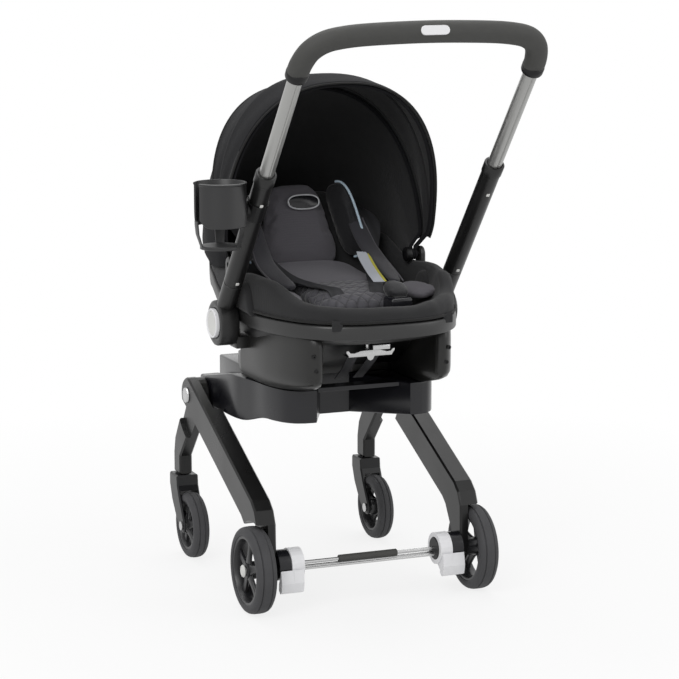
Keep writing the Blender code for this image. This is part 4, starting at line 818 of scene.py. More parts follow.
@dataclass
class Bucket:
    """The carrier's outline, which its rim, wall, roll and lining all follow."""

    half: float = 0.186
    front: float = 0.313
    back: float = 0.300
    powers: tuple[float, float] = (2.8, 2.0)
    taper: float = 0.38
    taper_power: float = 1.6
    lip_depth: float = 0.025
    lip_out: float = 0.009
    steps: int = 128
    rim: tuple = ((-0.12, 0.505), (0.0, 0.515), (0.1, 0.545), (0.2, 0.600), (0.3, 0.630))
    roll: tuple = ((-0.31, 0.528), (-0.24, 0.536), (-0.16, 0.564), (-0.08, 0.567), (-0.03, 0.561),
                   (0.03, 0.563), (0.12, 0.598), (0.20, 0.640), (0.30, 0.664))
    floor: tuple = ((-0.19, 0.452), (-0.08, 0.395))
    bowl: tuple = ((-0.26, 0.512), (-0.10, 0.500), (0.02, 0.510), (0.09, 0.530), (0.17, 0.672), (0.24, 0.664))

    def turns(self) -> list[float]:
        """The angles at which every ring has its points."""
        return [2 * math.pi * (k + 0.5) / self.steps for k in range(self.steps)]

    def plan(self, turn: float, inset: float) -> tuple[float, float]:
        """Point of the rim's outline, drawn in by an inset."""
        c, s = math.cos(turn), math.sin(turn)
        power, length = (self.powers[0], self.front) if s < 0 else (self.powers[1], self.back)
        return ((self.half - inset) * math.copysign(abs(c) ** (2 / power), c),
                (length - inset) * math.copysign(abs(s) ** (2 / power), s))

    def ring(self, inset: float, lift: float, heights: tuple | None = None) -> Ring:
        """A ring that follows the rim, or another table of heights, at an inset and a lift."""
        spots = [self.plan(turn, inset) for turn in self.turns()]
        return [(x, y, between(heights or self.rim, y) + lift) for x, y in spots]

    def wall(self, inset: float, drop: float, lift: float = 0.0) -> Ring:
        """A ring of the wall: drop is 0 just under the lip and 1 at the floor."""
        scale = 1 - self.taper * drop ** self.taper_power
        ring = []
        for turn in self.turns():
            x, y = self.plan(turn, inset)
            top = between(self.rim, y) - self.lip_depth
            foot = between(self.floor, y * scale) + lift
            ring.append((x * scale, y * scale, top + (foot - top) * drop))
        return ring

    def base(self, inset: float, lift: float = 0.0) -> list[Ring]:
        """Rings of the floor, from its middle out to the foot of the wall."""
        foot = self.wall(inset, 1.0, lift)
        return [[(x * scale, y * scale, between(self.floor, y * scale) + lift) for x, y, _ in foot]
                for scale in (0.05, 0.30, 0.50, 0.70, 0.85)]


def ripple(point: Vector, size: float, depth: float, seed: float) -> float:
    """A soft wrinkle height at a point, the same in each run."""
    spot = Vector(point) / size + Vector((seed, 2.3 * seed, 5.1 * seed))
    return depth * noise.fractal(spot, 0.8, 2.1, 2)


def wrinkled(mesh: BMesh, size: float, depth: float, seed: float, share: Callable[[Vector], float]) -> BMesh:
    """Move a mesh's surface in and out by soft wrinkles, each weighted by a share for its place."""
    mesh.normal_update()
    moves = [(vert, vert.normal * ripple(vert.co, size, depth, seed) * share(vert.co)) for vert in mesh.verts]
    for vert, move in moves:
        vert.co += move
    return mesh


def plumped(mesh: BMesh, cap: float, voxel: float = 0.0045, pressure: float = 4.0) -> BMesh:
    """Swell a closed pad with cloth under pressure, as its filling does.

    Args:
        mesh: the pad, a little smaller than the finished one.
        cap: furthest that a point may move.
        voxel: size of the cells that it is remeshed to.
        pressure: pressure of the filling.
    """
    scene = bpy.context.scene
    data = bpy.data.meshes.new("filling")
    mesh.to_mesh(data)
    mesh.free()
    filling = bpy.data.objects.new("filling", data)
    bpy.context.collection.objects.link(filling)
    cells = filling.modifiers.new("cells", "REMESH")
    cells.mode, cells.voxel_size = "VOXEL", voxel
    graph = bpy.context.evaluated_depsgraph_get()
    start = bpy.data.meshes.new_from_object(filling.evaluated_get(graph))
    filling.modifiers.clear()
    filling.data = start
    cloth = filling.modifiers.new("swelling", "CLOTH")
    cloth.settings.use_pressure = True
    cloth.settings.uniform_pressure_force = pressure
    cloth.settings.effector_weights.gravity = 0.0
    cloth.settings.quality = 5
    cloth.settings.tension_stiffness = cloth.settings.compression_stiffness = 15.0
    cloth.point_cache.frame_start, cloth.point_cache.frame_end = 1, LAST_FRAME
    for frame_number in range(1, LAST_FRAME + 1):
        scene.frame_set(frame_number)
    graph = bpy.context.evaluated_depsgraph_get()
    swollen = bpy.data.meshes.new_from_object(filling.evaluated_get(graph))
    for before, after in zip(start.vertices, swollen.vertices):
        move = after.co - before.co
        if move.length > cap:
            after.co = before.co + move.normalized() * cap
    filling.modifiers.clear()
    made = bmesh.new()
    made.from_mesh(swollen)
    bpy.data.objects.remove(filling, do_unlink=True)
    scene.frame_set(1)
    bmesh.ops.smooth_vert(made, verts=made.verts, factor=0.5, use_axis_x=True, use_axis_y=True,
                          use_axis_z=True)
    return made


def cushion(centre: Point, right: Point, up: Point, half_width: float, half_height: float, front: float,
            back: float, taper: float = 0.0, power: float = 4.0, steps: int = 96) -> BMesh:
    """A crowned pad with drawn-in sides.

    Args:
        centre: its middle.
        right: direction of its width.
        up: direction of its height.
        half_width: half of its width, half way up.
        half_height: half of its height.
        front: how far its face swells.
        back: how far its back swells.
        taper: share by which it is narrower at the top.
        power: 2 for an ellipse, more for a squarer outline.
        steps: points round it.

    Returns:
        The closed pad.
    """
    middle, across, rise = Vector(centre), Vector(right).normalized(), Vector(up).normalized()
    normal = across.cross(rise).normalized()
    faces = [(0.04, front), (0.15, front), (0.28, front), (0.40, front), (0.52, front), (0.62, front),
             (0.72, front), (0.80, front), (0.87, front), (0.92, front), (0.96, front * 0.82),
             (0.985, front * 0.55), (1.0, 0.0), (0.985, -back * 0.6), (0.90, -back), (0.45, -back),
             (0.05, -back)]
    rings = []
    for scale, height in faces:
        ring = []
        for step in range(steps):
            c, s = math.cos(2 * math.pi * step / steps), math.sin(2 * math.pi * step / steps)
            u = scale * math.copysign(abs(c) ** (2 / power), c)
            v = scale * math.copysign(abs(s) ** (2 / power), s)
            lift = height * (1.0 - 0.45 * scale ** 3) if height > 0 and scale < 0.95 else height
            ring.append(middle + across * u * half_width * (1 - taper * v) + rise * v * half_height
                        + normal * lift)
        rings.append(ring)
    return lofted(rings)


@dataclass
class Cover:
    """The seat's fabric: a padded roll on the rim and the lining of the bowl."""

    bucket: Bucket = field(default_factory=Bucket)
    inset: float = 0.0165
    lift: float = 0.0075
    tab_turns: tuple = (-112.5, -61.0)
    tab_line: tuple = ((0.0005, 0.0085), (-0.0010, 0.0040), (-0.0014, -0.0010), (-0.0012, -0.0085))

    def surface(self) -> list[Ring]:
        """Rings of the seat's surface, from the middle of the bowl out towards the roll."""
        rings = []
        for scale in (0.02, 0.08, 0.15, 0.24, 0.32, 0.40, 0.48, 0.55, 0.62, 0.68, 0.74, 0.80, 0.84):
            ring = []
            for turn in self.bucket.turns():
                x, y = self.bucket.plan(turn, 0.0)
                share = max(0.0, (scale - 0.62) / 0.38) ** 2
                bowl = between(self.bucket.bowl, y * scale)
                ring.append((x * scale, y * scale, bowl + (between(self.bucket.roll, y) - bowl) * share))
            rings.append(ring)
        return rings

    def build(self) -> None:
        """The cover, the elastic tabs that hold it down, and its edge binding."""
        over, rim = self.bucket.roll, self.bucket.ring
        roll = [rim(0.026, 0.0008, over), rim(0.021, 0.0018, over), rim(0.016, 0.0022, over),
                rim(0.011, 0.0012, over), rim(0.0068, -0.0016, over), rim(0.0040, -0.0060, over),
                rim(0.0026, -0.0120, over)]
        high, low = rim(0.0018, -0.0130, over), rim(0.0018, 0.0035)
        for share in (0.35, 0.70):
            roll.append([tuple(a + (b - a) * share for a, b in zip(p, q)) for p, q in zip(high, low)])
        under = [rim(0.0022, 0.0040), rim(0.0036, 0.0014), rim(0.0065, 0.0008), rim(0.013, 0.0006),
                 rim(0.0165, -0.003)]
        under += [self.bucket.wall(self.inset, drop, self.lift) for drop in (0.0, 0.45, 0.88, 1.0)]
        under += self.bucket.base(self.inset, self.lift)[::-1]
        mesh = lofted(self.surface() + roll + under)

        def loose(spot: Vector) -> float:
            """Share of the wrinkles at a place: none under the cover, most on the roll."""
            floor = between(self.bucket.rim, spot.y)
            return min(1.0, max(0.0, (spot.z - floor - 0.002) / 0.012))

        wrinkled(mesh, 0.045, 0.0030, 0.7, loose)
        wrinkled(mesh, 0.016, 0.0011, 1.9, loose)
        cover = place("seat_cover_fabric", mesh, Palette.cover, "root", ["seat_cover"], levels=1)
        hem = hoop(rim(0.0012, 0.0046), (0.0, 0.0, 1.0), 0.0018, 0.0022)
        place("seat_cover_hem", hem, Palette.binding)
        self.tabs()

    def tabs(self) -> None:
        """Elastic tabs that hold the cover down over the front of the lip."""
        for number, turn in enumerate(math.radians(degrees) for degrees in self.tab_turns):
            strip = []
            for inset, lift in self.tab_line:
                x, y = self.bucket.plan(turn, inset)
                strip.append((x, y, between(self.bucket.rim, y) + lift))
            along = (math.sin(-turn), math.cos(turn) * 0.3, 0.0)
            mesh = swept(smooth_path(strip, 4), along, 0.0095, 0.0009, 16, 6.0)
            place(f"cover_tab_{number}", mesh, Palette.cover)


@dataclass
class Pads:
    """The pads in the seat: behind the back, under the child, two wings and the small harness pads."""

    back_up: Point = (0.0, 0.316, 0.949)
    drift: float = 0.009
    band: tuple = ((0.094, 0.095, 0.640), (0.099, 0.080, 0.618), (0.103, 0.045, 0.588), (0.107, 0.005, 0.567),
                   (0.104, -0.050, 0.5510), (0.097, -0.100, 0.5400))
    wing_out: Point = (0.461, -0.842, 0.281)
    wing_up: Point = (-0.200, 0.310, 0.930)
    wing_base: Point = (0.0705, 0.1310, 0.6183)
    fine: float = 0.0032
    channel: float = 0.031
    crotch: Point = (0.062, -0.178, 0.5380)
    hip: Point = (0.120, -0.135, 0.5300)
    badge_spot: Point = (0.0060, 0.1200, 0.6580)

    def wing(self, side: int, name: str) -> None:
        """A wing that stands forward of the back pad, with pale piping along its free edge."""
        out = Vector((side * self.wing_out[0], self.wing_out[1], self.wing_out[2]))
        base = Vector((side * self.wing_base[0] - (self.drift if side < 0 else 0.0), *self.wing_base[1:]))
        rise = Vector((side * self.wing_up[0], *self.wing_up[1:]))
        mesh = cushion(base + out * 0.031, out, rise, 0.0300, 0.0690, 0.0058, 0.0058, power=3.0)
        wing = place(f"wing_pad_{name}", plumped(mesh, 0.005, self.fine), Palette.wing, "root",
                     [f"bolster_{name}"], levels=1)
        edge = []
        for step in range(41):
            turn = math.radians(-94 + 180 * step / 40)
            c, s = math.cos(turn), math.sin(turn)
            edge.append(base + out * (0.031 + 0.0318 * math.copysign(abs(c) ** (2 / 3), c))
                        + rise * 0.0708 * math.copysign(abs(s) ** (2 / 3), s))
        place(f"wing_piping_{name}", swept(edge, (1.0, 0.0, 0.0), 0.0023, 0.0023, 12), Palette.piping)

    def build(self) -> None:
        """Every pad, from the back forwards."""
        mesh = cushion((-0.007, 0.1200, 0.6155), (1, 0, 0), self.back_up, 0.0690, 0.0800, 0.0115, 0.0110,
                       taper=0.22)
        back = place("back_pad_fabric", plumped(mesh, 0.008), Palette.pad, "root", ["back_pad"], levels=1)
        mesh = cushion((0.0, -0.0650, 0.5190), (1, 0, 0), (0, 1, 0.05), 0.0840, 0.1240, 0.0160, 0.0090)
        mesh = self.channelled(plumped(mesh, 0.009, 0.0050))
        seat = place("seat_pad_quilt", mesh, Palette.quilt, "root", ["seat_pad"], levels=1)
        for side, name in SIDES:
            self.wing(side, name)
        self.hip_pads()
        self.insert()

    def channelled(self, mesh: BMesh) -> BMesh:
        """Press sewn channels across the seat pad."""
        mesh.normal_update()
        for vert in mesh.verts:
            if vert.normal.z > 0.2:
                row = (vert.co.y + 0.065) / self.channel
                dip = math.exp(-((row - round(row)) / 0.10) ** 2)
                vert.co.z -= 0.0022 * dip * vert.normal.z
        return mesh

    def insert(self) -> None:
        """The infant insert: a flat pad below the back, a band up each side, and a blank badge."""
        spine = smooth_path([(-0.007, y, z) for y, z in ((0.090, 0.5545), (0.055, 0.5475), (0.015, 0.5430),
                                                         (-0.030, 0.5405), (-0.074, 0.5390))], 8)
        mesh = swept(spine, (1, 0, 0), lambda t: 0.084 * (1 - abs(2 * t - 1) ** 5 * 0.45),
                     lambda t: 0.0010 + 0.0055 * (1 - abs(2 * t - 1) ** 6) ** 0.5, 56, 3.0)
        place("insert_pad", mesh, Palette.insert, levels=1)
        for side, name in SIDES:
            path = smooth_path([(side * x, y, z) for x, y, z in self.band], 10)
            mesh = swept(path, (side * 0.90, -0.35, -0.25),
                         lambda t: 0.0050 + 0.0125 * math.sin(math.pi * t) ** 0.4, 0.0042, 28, 2.6)
            place(f"insert_band_{name}", mesh, Palette.band, levels=1)
            edge = [p + Vector((side * 0.0150, -0.0070, -0.0030)) for p in path[3:-3]]
            place(f"insert_piping_{name}", swept(edge, (1, 0, 0), 0.0014, 0.0014, 10), Palette.pad)
        self.badge()

    def badge(self) -> None:
        """A blank rounded badge with a pale rim, sewn on the back pad."""
        rise = Vector(self.back_up)
        front = Vector((1.0, 0.0, 0.0)).cross(rise).normalized()
        centre = Vector(self.badge_spot) + front * 0.0105

        def oval(wide: float, high: float, lift: float, steps: int = 64) -> Ring:
            """A rounded loop on the pad, at a lift from the badge's middle."""
            loop = []
            for step in range(steps):
                c, s = math.cos(2 * math.pi * step / steps), math.sin(2 * math.pi * step / steps)
                loop.append(centre + Vector((1, 0, 0)) * wide * math.copysign(abs(c) ** 0.8, c)
                            + rise * high * math.copysign(abs(s) ** 0.8, s) + front * lift)
            return loop

        place("badge_face", lofted([oval(0.029, 0.0125, -0.0040), oval(0.029, 0.0125, 0.0008),
                                    oval(0.028, 0.0115, 0.0014)]), Palette.gloss)
        place("badge_rim", hoop(oval(0.0295, 0.0130, 0.0008), front, 0.0014, 0.0012), Palette.trim)

    def hip_pads(self) -> None:
        """Soft pads at the hips and between the legs."""
        crotch = cushion(self.crotch, (1, 0, 0), (0, 0.93, 0.36), 0.0205, 0.022, 0.012, 0.006, power=2.4,
                         steps=48)
        pad = place("crotch_pad", plumped(crotch, 0.005, self.fine), Palette.wing, levels=1)
        for side, name in SIDES:
            hip = cushion((side * self.hip[0], *self.hip[1:]), (side * 0.94, 0.25, 0.22),
                          (side * -0.25, 0.96, 0.05), 0.0250, 0.0420, 0.008, 0.006, power=2.6, steps=48)
            pad = place(f"hip_pad_{name}", plumped(hip, 0.004, self.fine), Palette.pad, levels=1)


@dataclass
class Harness:
    """The webbing, its buckle, the plate under the seat and the straps that it is drawn up by."""

    path: tuple = ((0.112, 0.156, 0.640), (0.119, 0.130, 0.641), (0.131, 0.085, 0.622), (0.108, 0.035, 0.583),
                   (0.082, -0.030, 0.5510), (0.058, -0.100, 0.5430), (0.040, -0.145, 0.541),
                   (0.036, -0.165, 0.524))
    half: float = 0.013
    thick: float = 0.0022
    tag_path: tuple = ((0.0840, 0.022, 0.5775), (0.0790, 0.000, 0.5690), (0.0710, -0.050, 0.5550),
                       (0.0600, -0.112, 0.5445))
    buckle: tuple = ((0.030, -0.236, 0.5080), (0.070, -0.196, 0.5340))
    anchor: tuple = ((0.0, 0.4270), (0.0045, 0.4290), (0.0075, 0.4350), (0.0200, 0.4360), (0.0320, 0.4345),
                     (0.0400, 0.4365), (0.0450, 0.4430), (0.0440, 0.4465), (0.0400, 0.4455), (0.0370, 0.4420),
                     (0.0300, 0.4415), (0.0180, 0.4450), (0.0, 0.4455))

    def build(self) -> None:
        """Straps, label, buckle, yoke plate and its two straps."""
        for side, name in SIDES:
            path = smooth_path([(side * x, y, z) for x, y, z in self.path], 12)
            place(f"harness_webbing_{name}", swept(path, (1, 0, 0), self.half, self.thick / 2, 16, 8.0),
                  Palette.belt, "root", [f"harness_strap_{name}"])
        self.tag()
        place("buckle_body", block(*self.buckle, 0.005, 4), Palette.gloss, "root", ["buckle"])
        dress(Palette.dark, "buckle_button")
        self.yoke()

    def tag(self) -> None:
        """A blank satin tag with a yellow edge, sewn beside the right strap."""
        spots = smooth_path(self.tag_path, 8)
        place("tag_satin", swept(spots, (1, 0, 0), 0.0105, 0.0006, 16, 8.0), Palette.label)
        edge = [p + Vector((0.0115, 0.0, 0.0004)) for p in spots]
        place("tag_edge", swept(edge, (1, 0, 0), 0.0024, 0.0008, 12, 4.0), Palette.label_edge)

    def yoke(self) -> None:
        """A plated anchor shape whose ends curl up round the ends of two straps."""
        plate = slab(Axis.Y, mirrored(self.anchor), -0.2160, -0.2130, 0.0008, 2)
        bar = block((-0.0400, -0.2150, 0.4345), (0.0400, -0.1900, 0.4365), 0.0006, 2)
        post = turned(Axis.Z, (0.0, -0.200), [(0.4350, 0.0), (0.4350, 0.005), (0.4529, 0.005), (0.4529, 0.0)],
                      24)
        slide = block((0.004, -0.2170, 0.4450), (0.036, -0.2130, 0.4535), 0.001, 2)
        place("yoke_anchor", joined([plate, bar, post, slide]), Palette.steel, "root", ["yoke_plate"])
        for side, name in SIDES:
            path = smooth_path([(side * 0.022, -0.188, 0.4345), (side * 0.020, -0.178, 0.4250),
                                (side * 0.018, -0.150, 0.4020), (side * 0.017, -0.118, 0.3800)], 8)
            place(f"yoke_webbing_{name}", swept(path, (1, 0, 0), 0.0095, 0.0011, 16, 8.0), Palette.belt)


@dataclass
class Handle:
    """The swinging push handle: hubs, outer tubes, telescoping tubes and the foam grip."""

    lean: float = math.radians(39.0)
    collar: Point = (-0.259, 0.7525)
    hub: Point = (-0.050, 0.480)
    x: float = 0.206
    radius: float = 0.0165
    inner: float = 0.0125
    start: float = 0.225
    joint: float = -0.250
    grip: tuple = ((0.0, 0.3122), (0.100, 0.3092), (0.150, 0.3035), (0.178, 0.2940), (0.196, 0.2760),
                   (0.2045, 0.2500), (0.206, 0.225))
    pins: tuple = (("upper", -0.050), ("lower", -0.238))

    def spot(self, x: float, s: float) -> Vector:
        """Place on the handle's plane; s runs up the tubes from their collars."""
        return Vector((x, self.collar[0] - s * math.sin(self.lean), self.collar[1] + s * math.cos(self.lean)))

    def out(self) -> Vector:
        """Direction from the tubes towards the parent."""
        return Vector((0, -math.cos(self.lean), -math.sin(self.lean)))

    def tube(self, x: float, profile: Sequence[tuple[float, float]], steps: int = 40) -> BMesh:
        """A turned length along the handle, from (s, radius) pairs."""
        mesh = turned(Axis.Z, (0.0, 0.0), profile, steps)
        bmesh.ops.rotate(mesh, verts=mesh.verts, cent=(0, 0, 0), matrix=Matrix.Rotation(self.lean, 3, "X"))
        bmesh.ops.translate(mesh, verts=mesh.verts, vec=self.spot(x, 0.0))
        return mesh

    def build(self) -> None:
        """Both sides, then the grip with its button."""
        for side, name in SIDES:
            self.side(side, name)
        half = [self.spot(x, s) for x, s in self.grip]
        path = smooth_path([Vector((-p.x, p.y, p.z)) for p in reversed(half[1:])] + half, 8)
        out = self.out()
        place("grip_foam", swept(path, out, 0.0160, 0.0185, 32, 2.2), Palette.grip, "telescope", ["grip"])
        for side, name in SIDES:
            end = [(0.2195, 0.0), (0.2195, 0.0150), (0.2210, 0.0176), (0.2235, 0.0186), (0.2330, 0.0188),
                   (0.2350, 0.0178), (0.2360, 0.0160), (0.2360, 0.0)]
            place(f"grip_end_{name}", self.tube(side * self.x, end), Palette.dark, "telescope")
        dress(Palette.white, "grip_button", bevel=0.0012)

    def side(self, side: int, name: str) -> None:
        """Hub and the stub of its tube, then the hub's button and the tubes."""
        x = side * self.x
        low, high = self.x - self.radius, self.x + self.radius
        disc = [(low, 0.0), (low, 0.0365), (low + 0.0010, 0.0385), (low + 0.0030, 0.0395),
                (high - 0.0040, 0.0395), (high - 0.0015, 0.0386), (high, 0.0360), (high, 0.0290),
                (high - 0.0010, 0.0270), (high - 0.0120, 0.0262), (high - 0.0120, 0.0)]
        hub = turned(Axis.X, self.hub, disc, 64, side=side)
        stub = self.tube(x, [(-0.312, 0.0), (-0.312, self.radius), (self.joint - 0.0014, self.radius),
                             (self.joint - 0.0004, self.radius - 0.001), (self.joint - 0.0004, 0.0)])
        place(f"handle_hub_shell_{name}", joined([hub, stub]), Palette.tube, "handle", [f"handle_hub_{name}"])
        self.hub_button(side, name, high)
        self.tubes(x, name)

    def hub_button(self, side: int, name: str, high: float) -> None:
        """The button in a hub: a white ring round a pale face, both past the hub's outer face at high."""
        ring = [(high - 0.0005, 0.0215), (high - 0.0005, 0.0255), (high + 0.0052, 0.0255),
                (high + 0.0062, 0.0247), (high + 0.0063, 0.0236), (high + 0.0058, 0.0224),
                (high + 0.0048, 0.0215)]
        body = f"hub_button_{name}"
        mesh = turned(Axis.X, self.hub, ring, 64, looped=True, side=side)
        place(f"hub_button_ring_{name}", mesh, Palette.white, body, [body])
        face = [(high - 0.0055, 0.0), (high - 0.0055, 0.0214), (high + 0.0044, 0.0214),
                (high + 0.0050, 0.0206), (high + 0.0046, 0.0120), (high + 0.0042, 0.0)]
        place(f"hub_button_face_{name}", turned(Axis.X, self.hub, face, 64, side=side), Palette.cap, body)

    def tubes(self, x: float, name: str) -> None:
        """The coated outer tube with its collar, the silver tube inside it, and the outer tube's two pins."""
        r = self.radius
        outer = [(self.joint + 0.0004, 0.0), (self.joint + 0.0004, r - 0.001), (self.joint + 0.0014, r),
                 (-0.0115, r), (-0.0100, r + 0.0013), (0.0085, r + 0.0013), (0.0100, r + 0.0003),
                 (0.0103, 0.0140), (0.0080, 0.0129), (0.0, 0.0129), (0.0, 0.0)]
        place(f"outer_tube_coated_{name}", self.tube(x, outer), Palette.tube, "handle",
              [f"outer_tube_{name}"])
        end = self.start + 0.018
        mesh = self.tube(x, [(-0.045, 0.0), (-0.045, self.inner), (end, self.inner), (end, 0.0)], 48)
        place(f"inner_tube_anodised_{name}", self.grooved(mesh, x), Palette.silver, "telescope",
              [f"inner_tube_{name}"])
        for label, lift in self.pins:
            pin = block((-0.0030, -0.0030, -0.0012), (0.0030, 0.0030, 0.0012), 0.0011, 3)
            self.stick(pin, x, lift, r)
            place(f"tube_pin_{label}_{name}", pin, Palette.cap, "handle")

    def stick(self, mesh: BMesh, x: float, s: float, radius: float) -> None:
        """Put a small shape on the side of a tube that faces the parent."""
        out = self.out()
        bmesh.ops.rotate(mesh, verts=mesh.verts, cent=(0, 0, 0),
                         matrix=out.to_track_quat("Z", "X").to_matrix())
        bmesh.ops.translate(mesh, verts=mesh.verts, vec=self.spot(x, s) + out * (radius + 0.0002))

    def grooved(self, mesh: BMesh, x: float) -> BMesh:
        """Press a shallow groove along the side of a tube that faces the parent."""
        out = self.out()
        base = self.spot(x, 0.0)
        for vert in mesh.verts:
            away = vert.co - base
            off = away.x / self.inner
            if away.dot(out) > 0 and abs(off) < 0.10 and away.length > 0.013:
                vert.co -= out * 0.0012
        return mesh


@dataclass
class CupHolder:
    """The clamp on the left tube and the open band, uprights and floor that hang on its pin.

    The band runs from first to last, in degrees, and each upright from one angle to another.
    """

    x: float = -0.272
    y: float = -0.225
    radius: float = 0.043
    wall: float = 0.003
    low: float = 0.672
    top: float = 0.745
    floor: float = 0.635
    first: float = -162.0
    last: float = 160.0
    uprights: tuple = ((-58, -38), (60, 84), (165, 189))
    steps: int = 96

    def scaled(self, outline: Sequence[tuple[float, float]], share: float) -> list[tuple[float, float]]:
        """An outline drawn in towards the holder's middle."""
        return [(self.x + (x - self.x) * share, self.y + (y - self.y) * share) for x, y in outline]

    def band(self) -> BMesh:
        """The open band: a thin wall with a rounded lip, slanted at its free end."""
        rings, out, inn = [], self.radius, self.radius - self.wall
        for step in range(self.steps + 1):
            turn = math.radians(self.first + (self.last - self.first) * step / self.steps)
            ease = min(1.0, step / 10, (self.steps - step) / 6)
            foot = self.low + (0.030 if step > 60 else 0.012) * (1 - ease) ** 2
            section = [(inn, foot), (out - 0.0008, foot), (out, foot + 0.0010), (out, self.top - 0.0045),
                       (out + 0.0012, self.top - 0.0030), (out + 0.0012, self.top - 0.0008),
                       (out - 0.0002, self.top), (inn + 0.0006, self.top), (inn, self.top - 0.0010)]
            rings.append([(self.x + r * math.cos(turn), self.y + r * math.sin(turn), z) for r, z in section])
        return lofted(rings)

    def build(self) -> None:
        """Band, three uprights, floor and boss on one body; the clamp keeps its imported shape."""
        parts, centre = [self.band()], (self.x, self.y)
        ring = [(self.floor, 0.0), (self.floor, 0.0325), (self.floor + 0.0012, 0.0338),
                (self.floor + 0.0046, 0.0340), (self.floor + 0.0060, 0.0328), (self.floor + 0.0060, 0.0)]
        parts.append(turned(Axis.Z, centre, ring, 64))
        inner = self.radius - self.wall
        for first, last in self.uprights:
            outline = arc(centre, self.radius - 0.0004, first, last, 8)
            outline += arc(centre, inner + 0.0004, last, first, 8)
            foot, waist = self.scaled(outline, 0.80), self.scaled(outline, 0.96)
            levels = ((foot, self.floor + 0.0005), (foot, self.floor + 0.0050), (waist, self.low - 0.012),
                      (outline, self.low + 0.004), (outline, self.low + 0.010))
            parts.append(lofted([[(px, py, level) for px, py in ring] for ring, level in levels]))
        boss = [(-0.2258, 0.0), (-0.2258, 0.0116), (-0.2268, 0.0125), (self.x + inner + 0.0012, 0.0125),
                (self.x + inner + 0.0012, 0.0)]
        handle = Handle()
        axle = handle.spot(-handle.x, -0.070)
        parts.append(turned(Axis.X, (axle.y, axle.z), boss, 40))
        place("cup_band", joined(parts), Palette.shell, "cup_holder", ["cup_holder"])
        dress(Palette.dark, "cup_clamp")


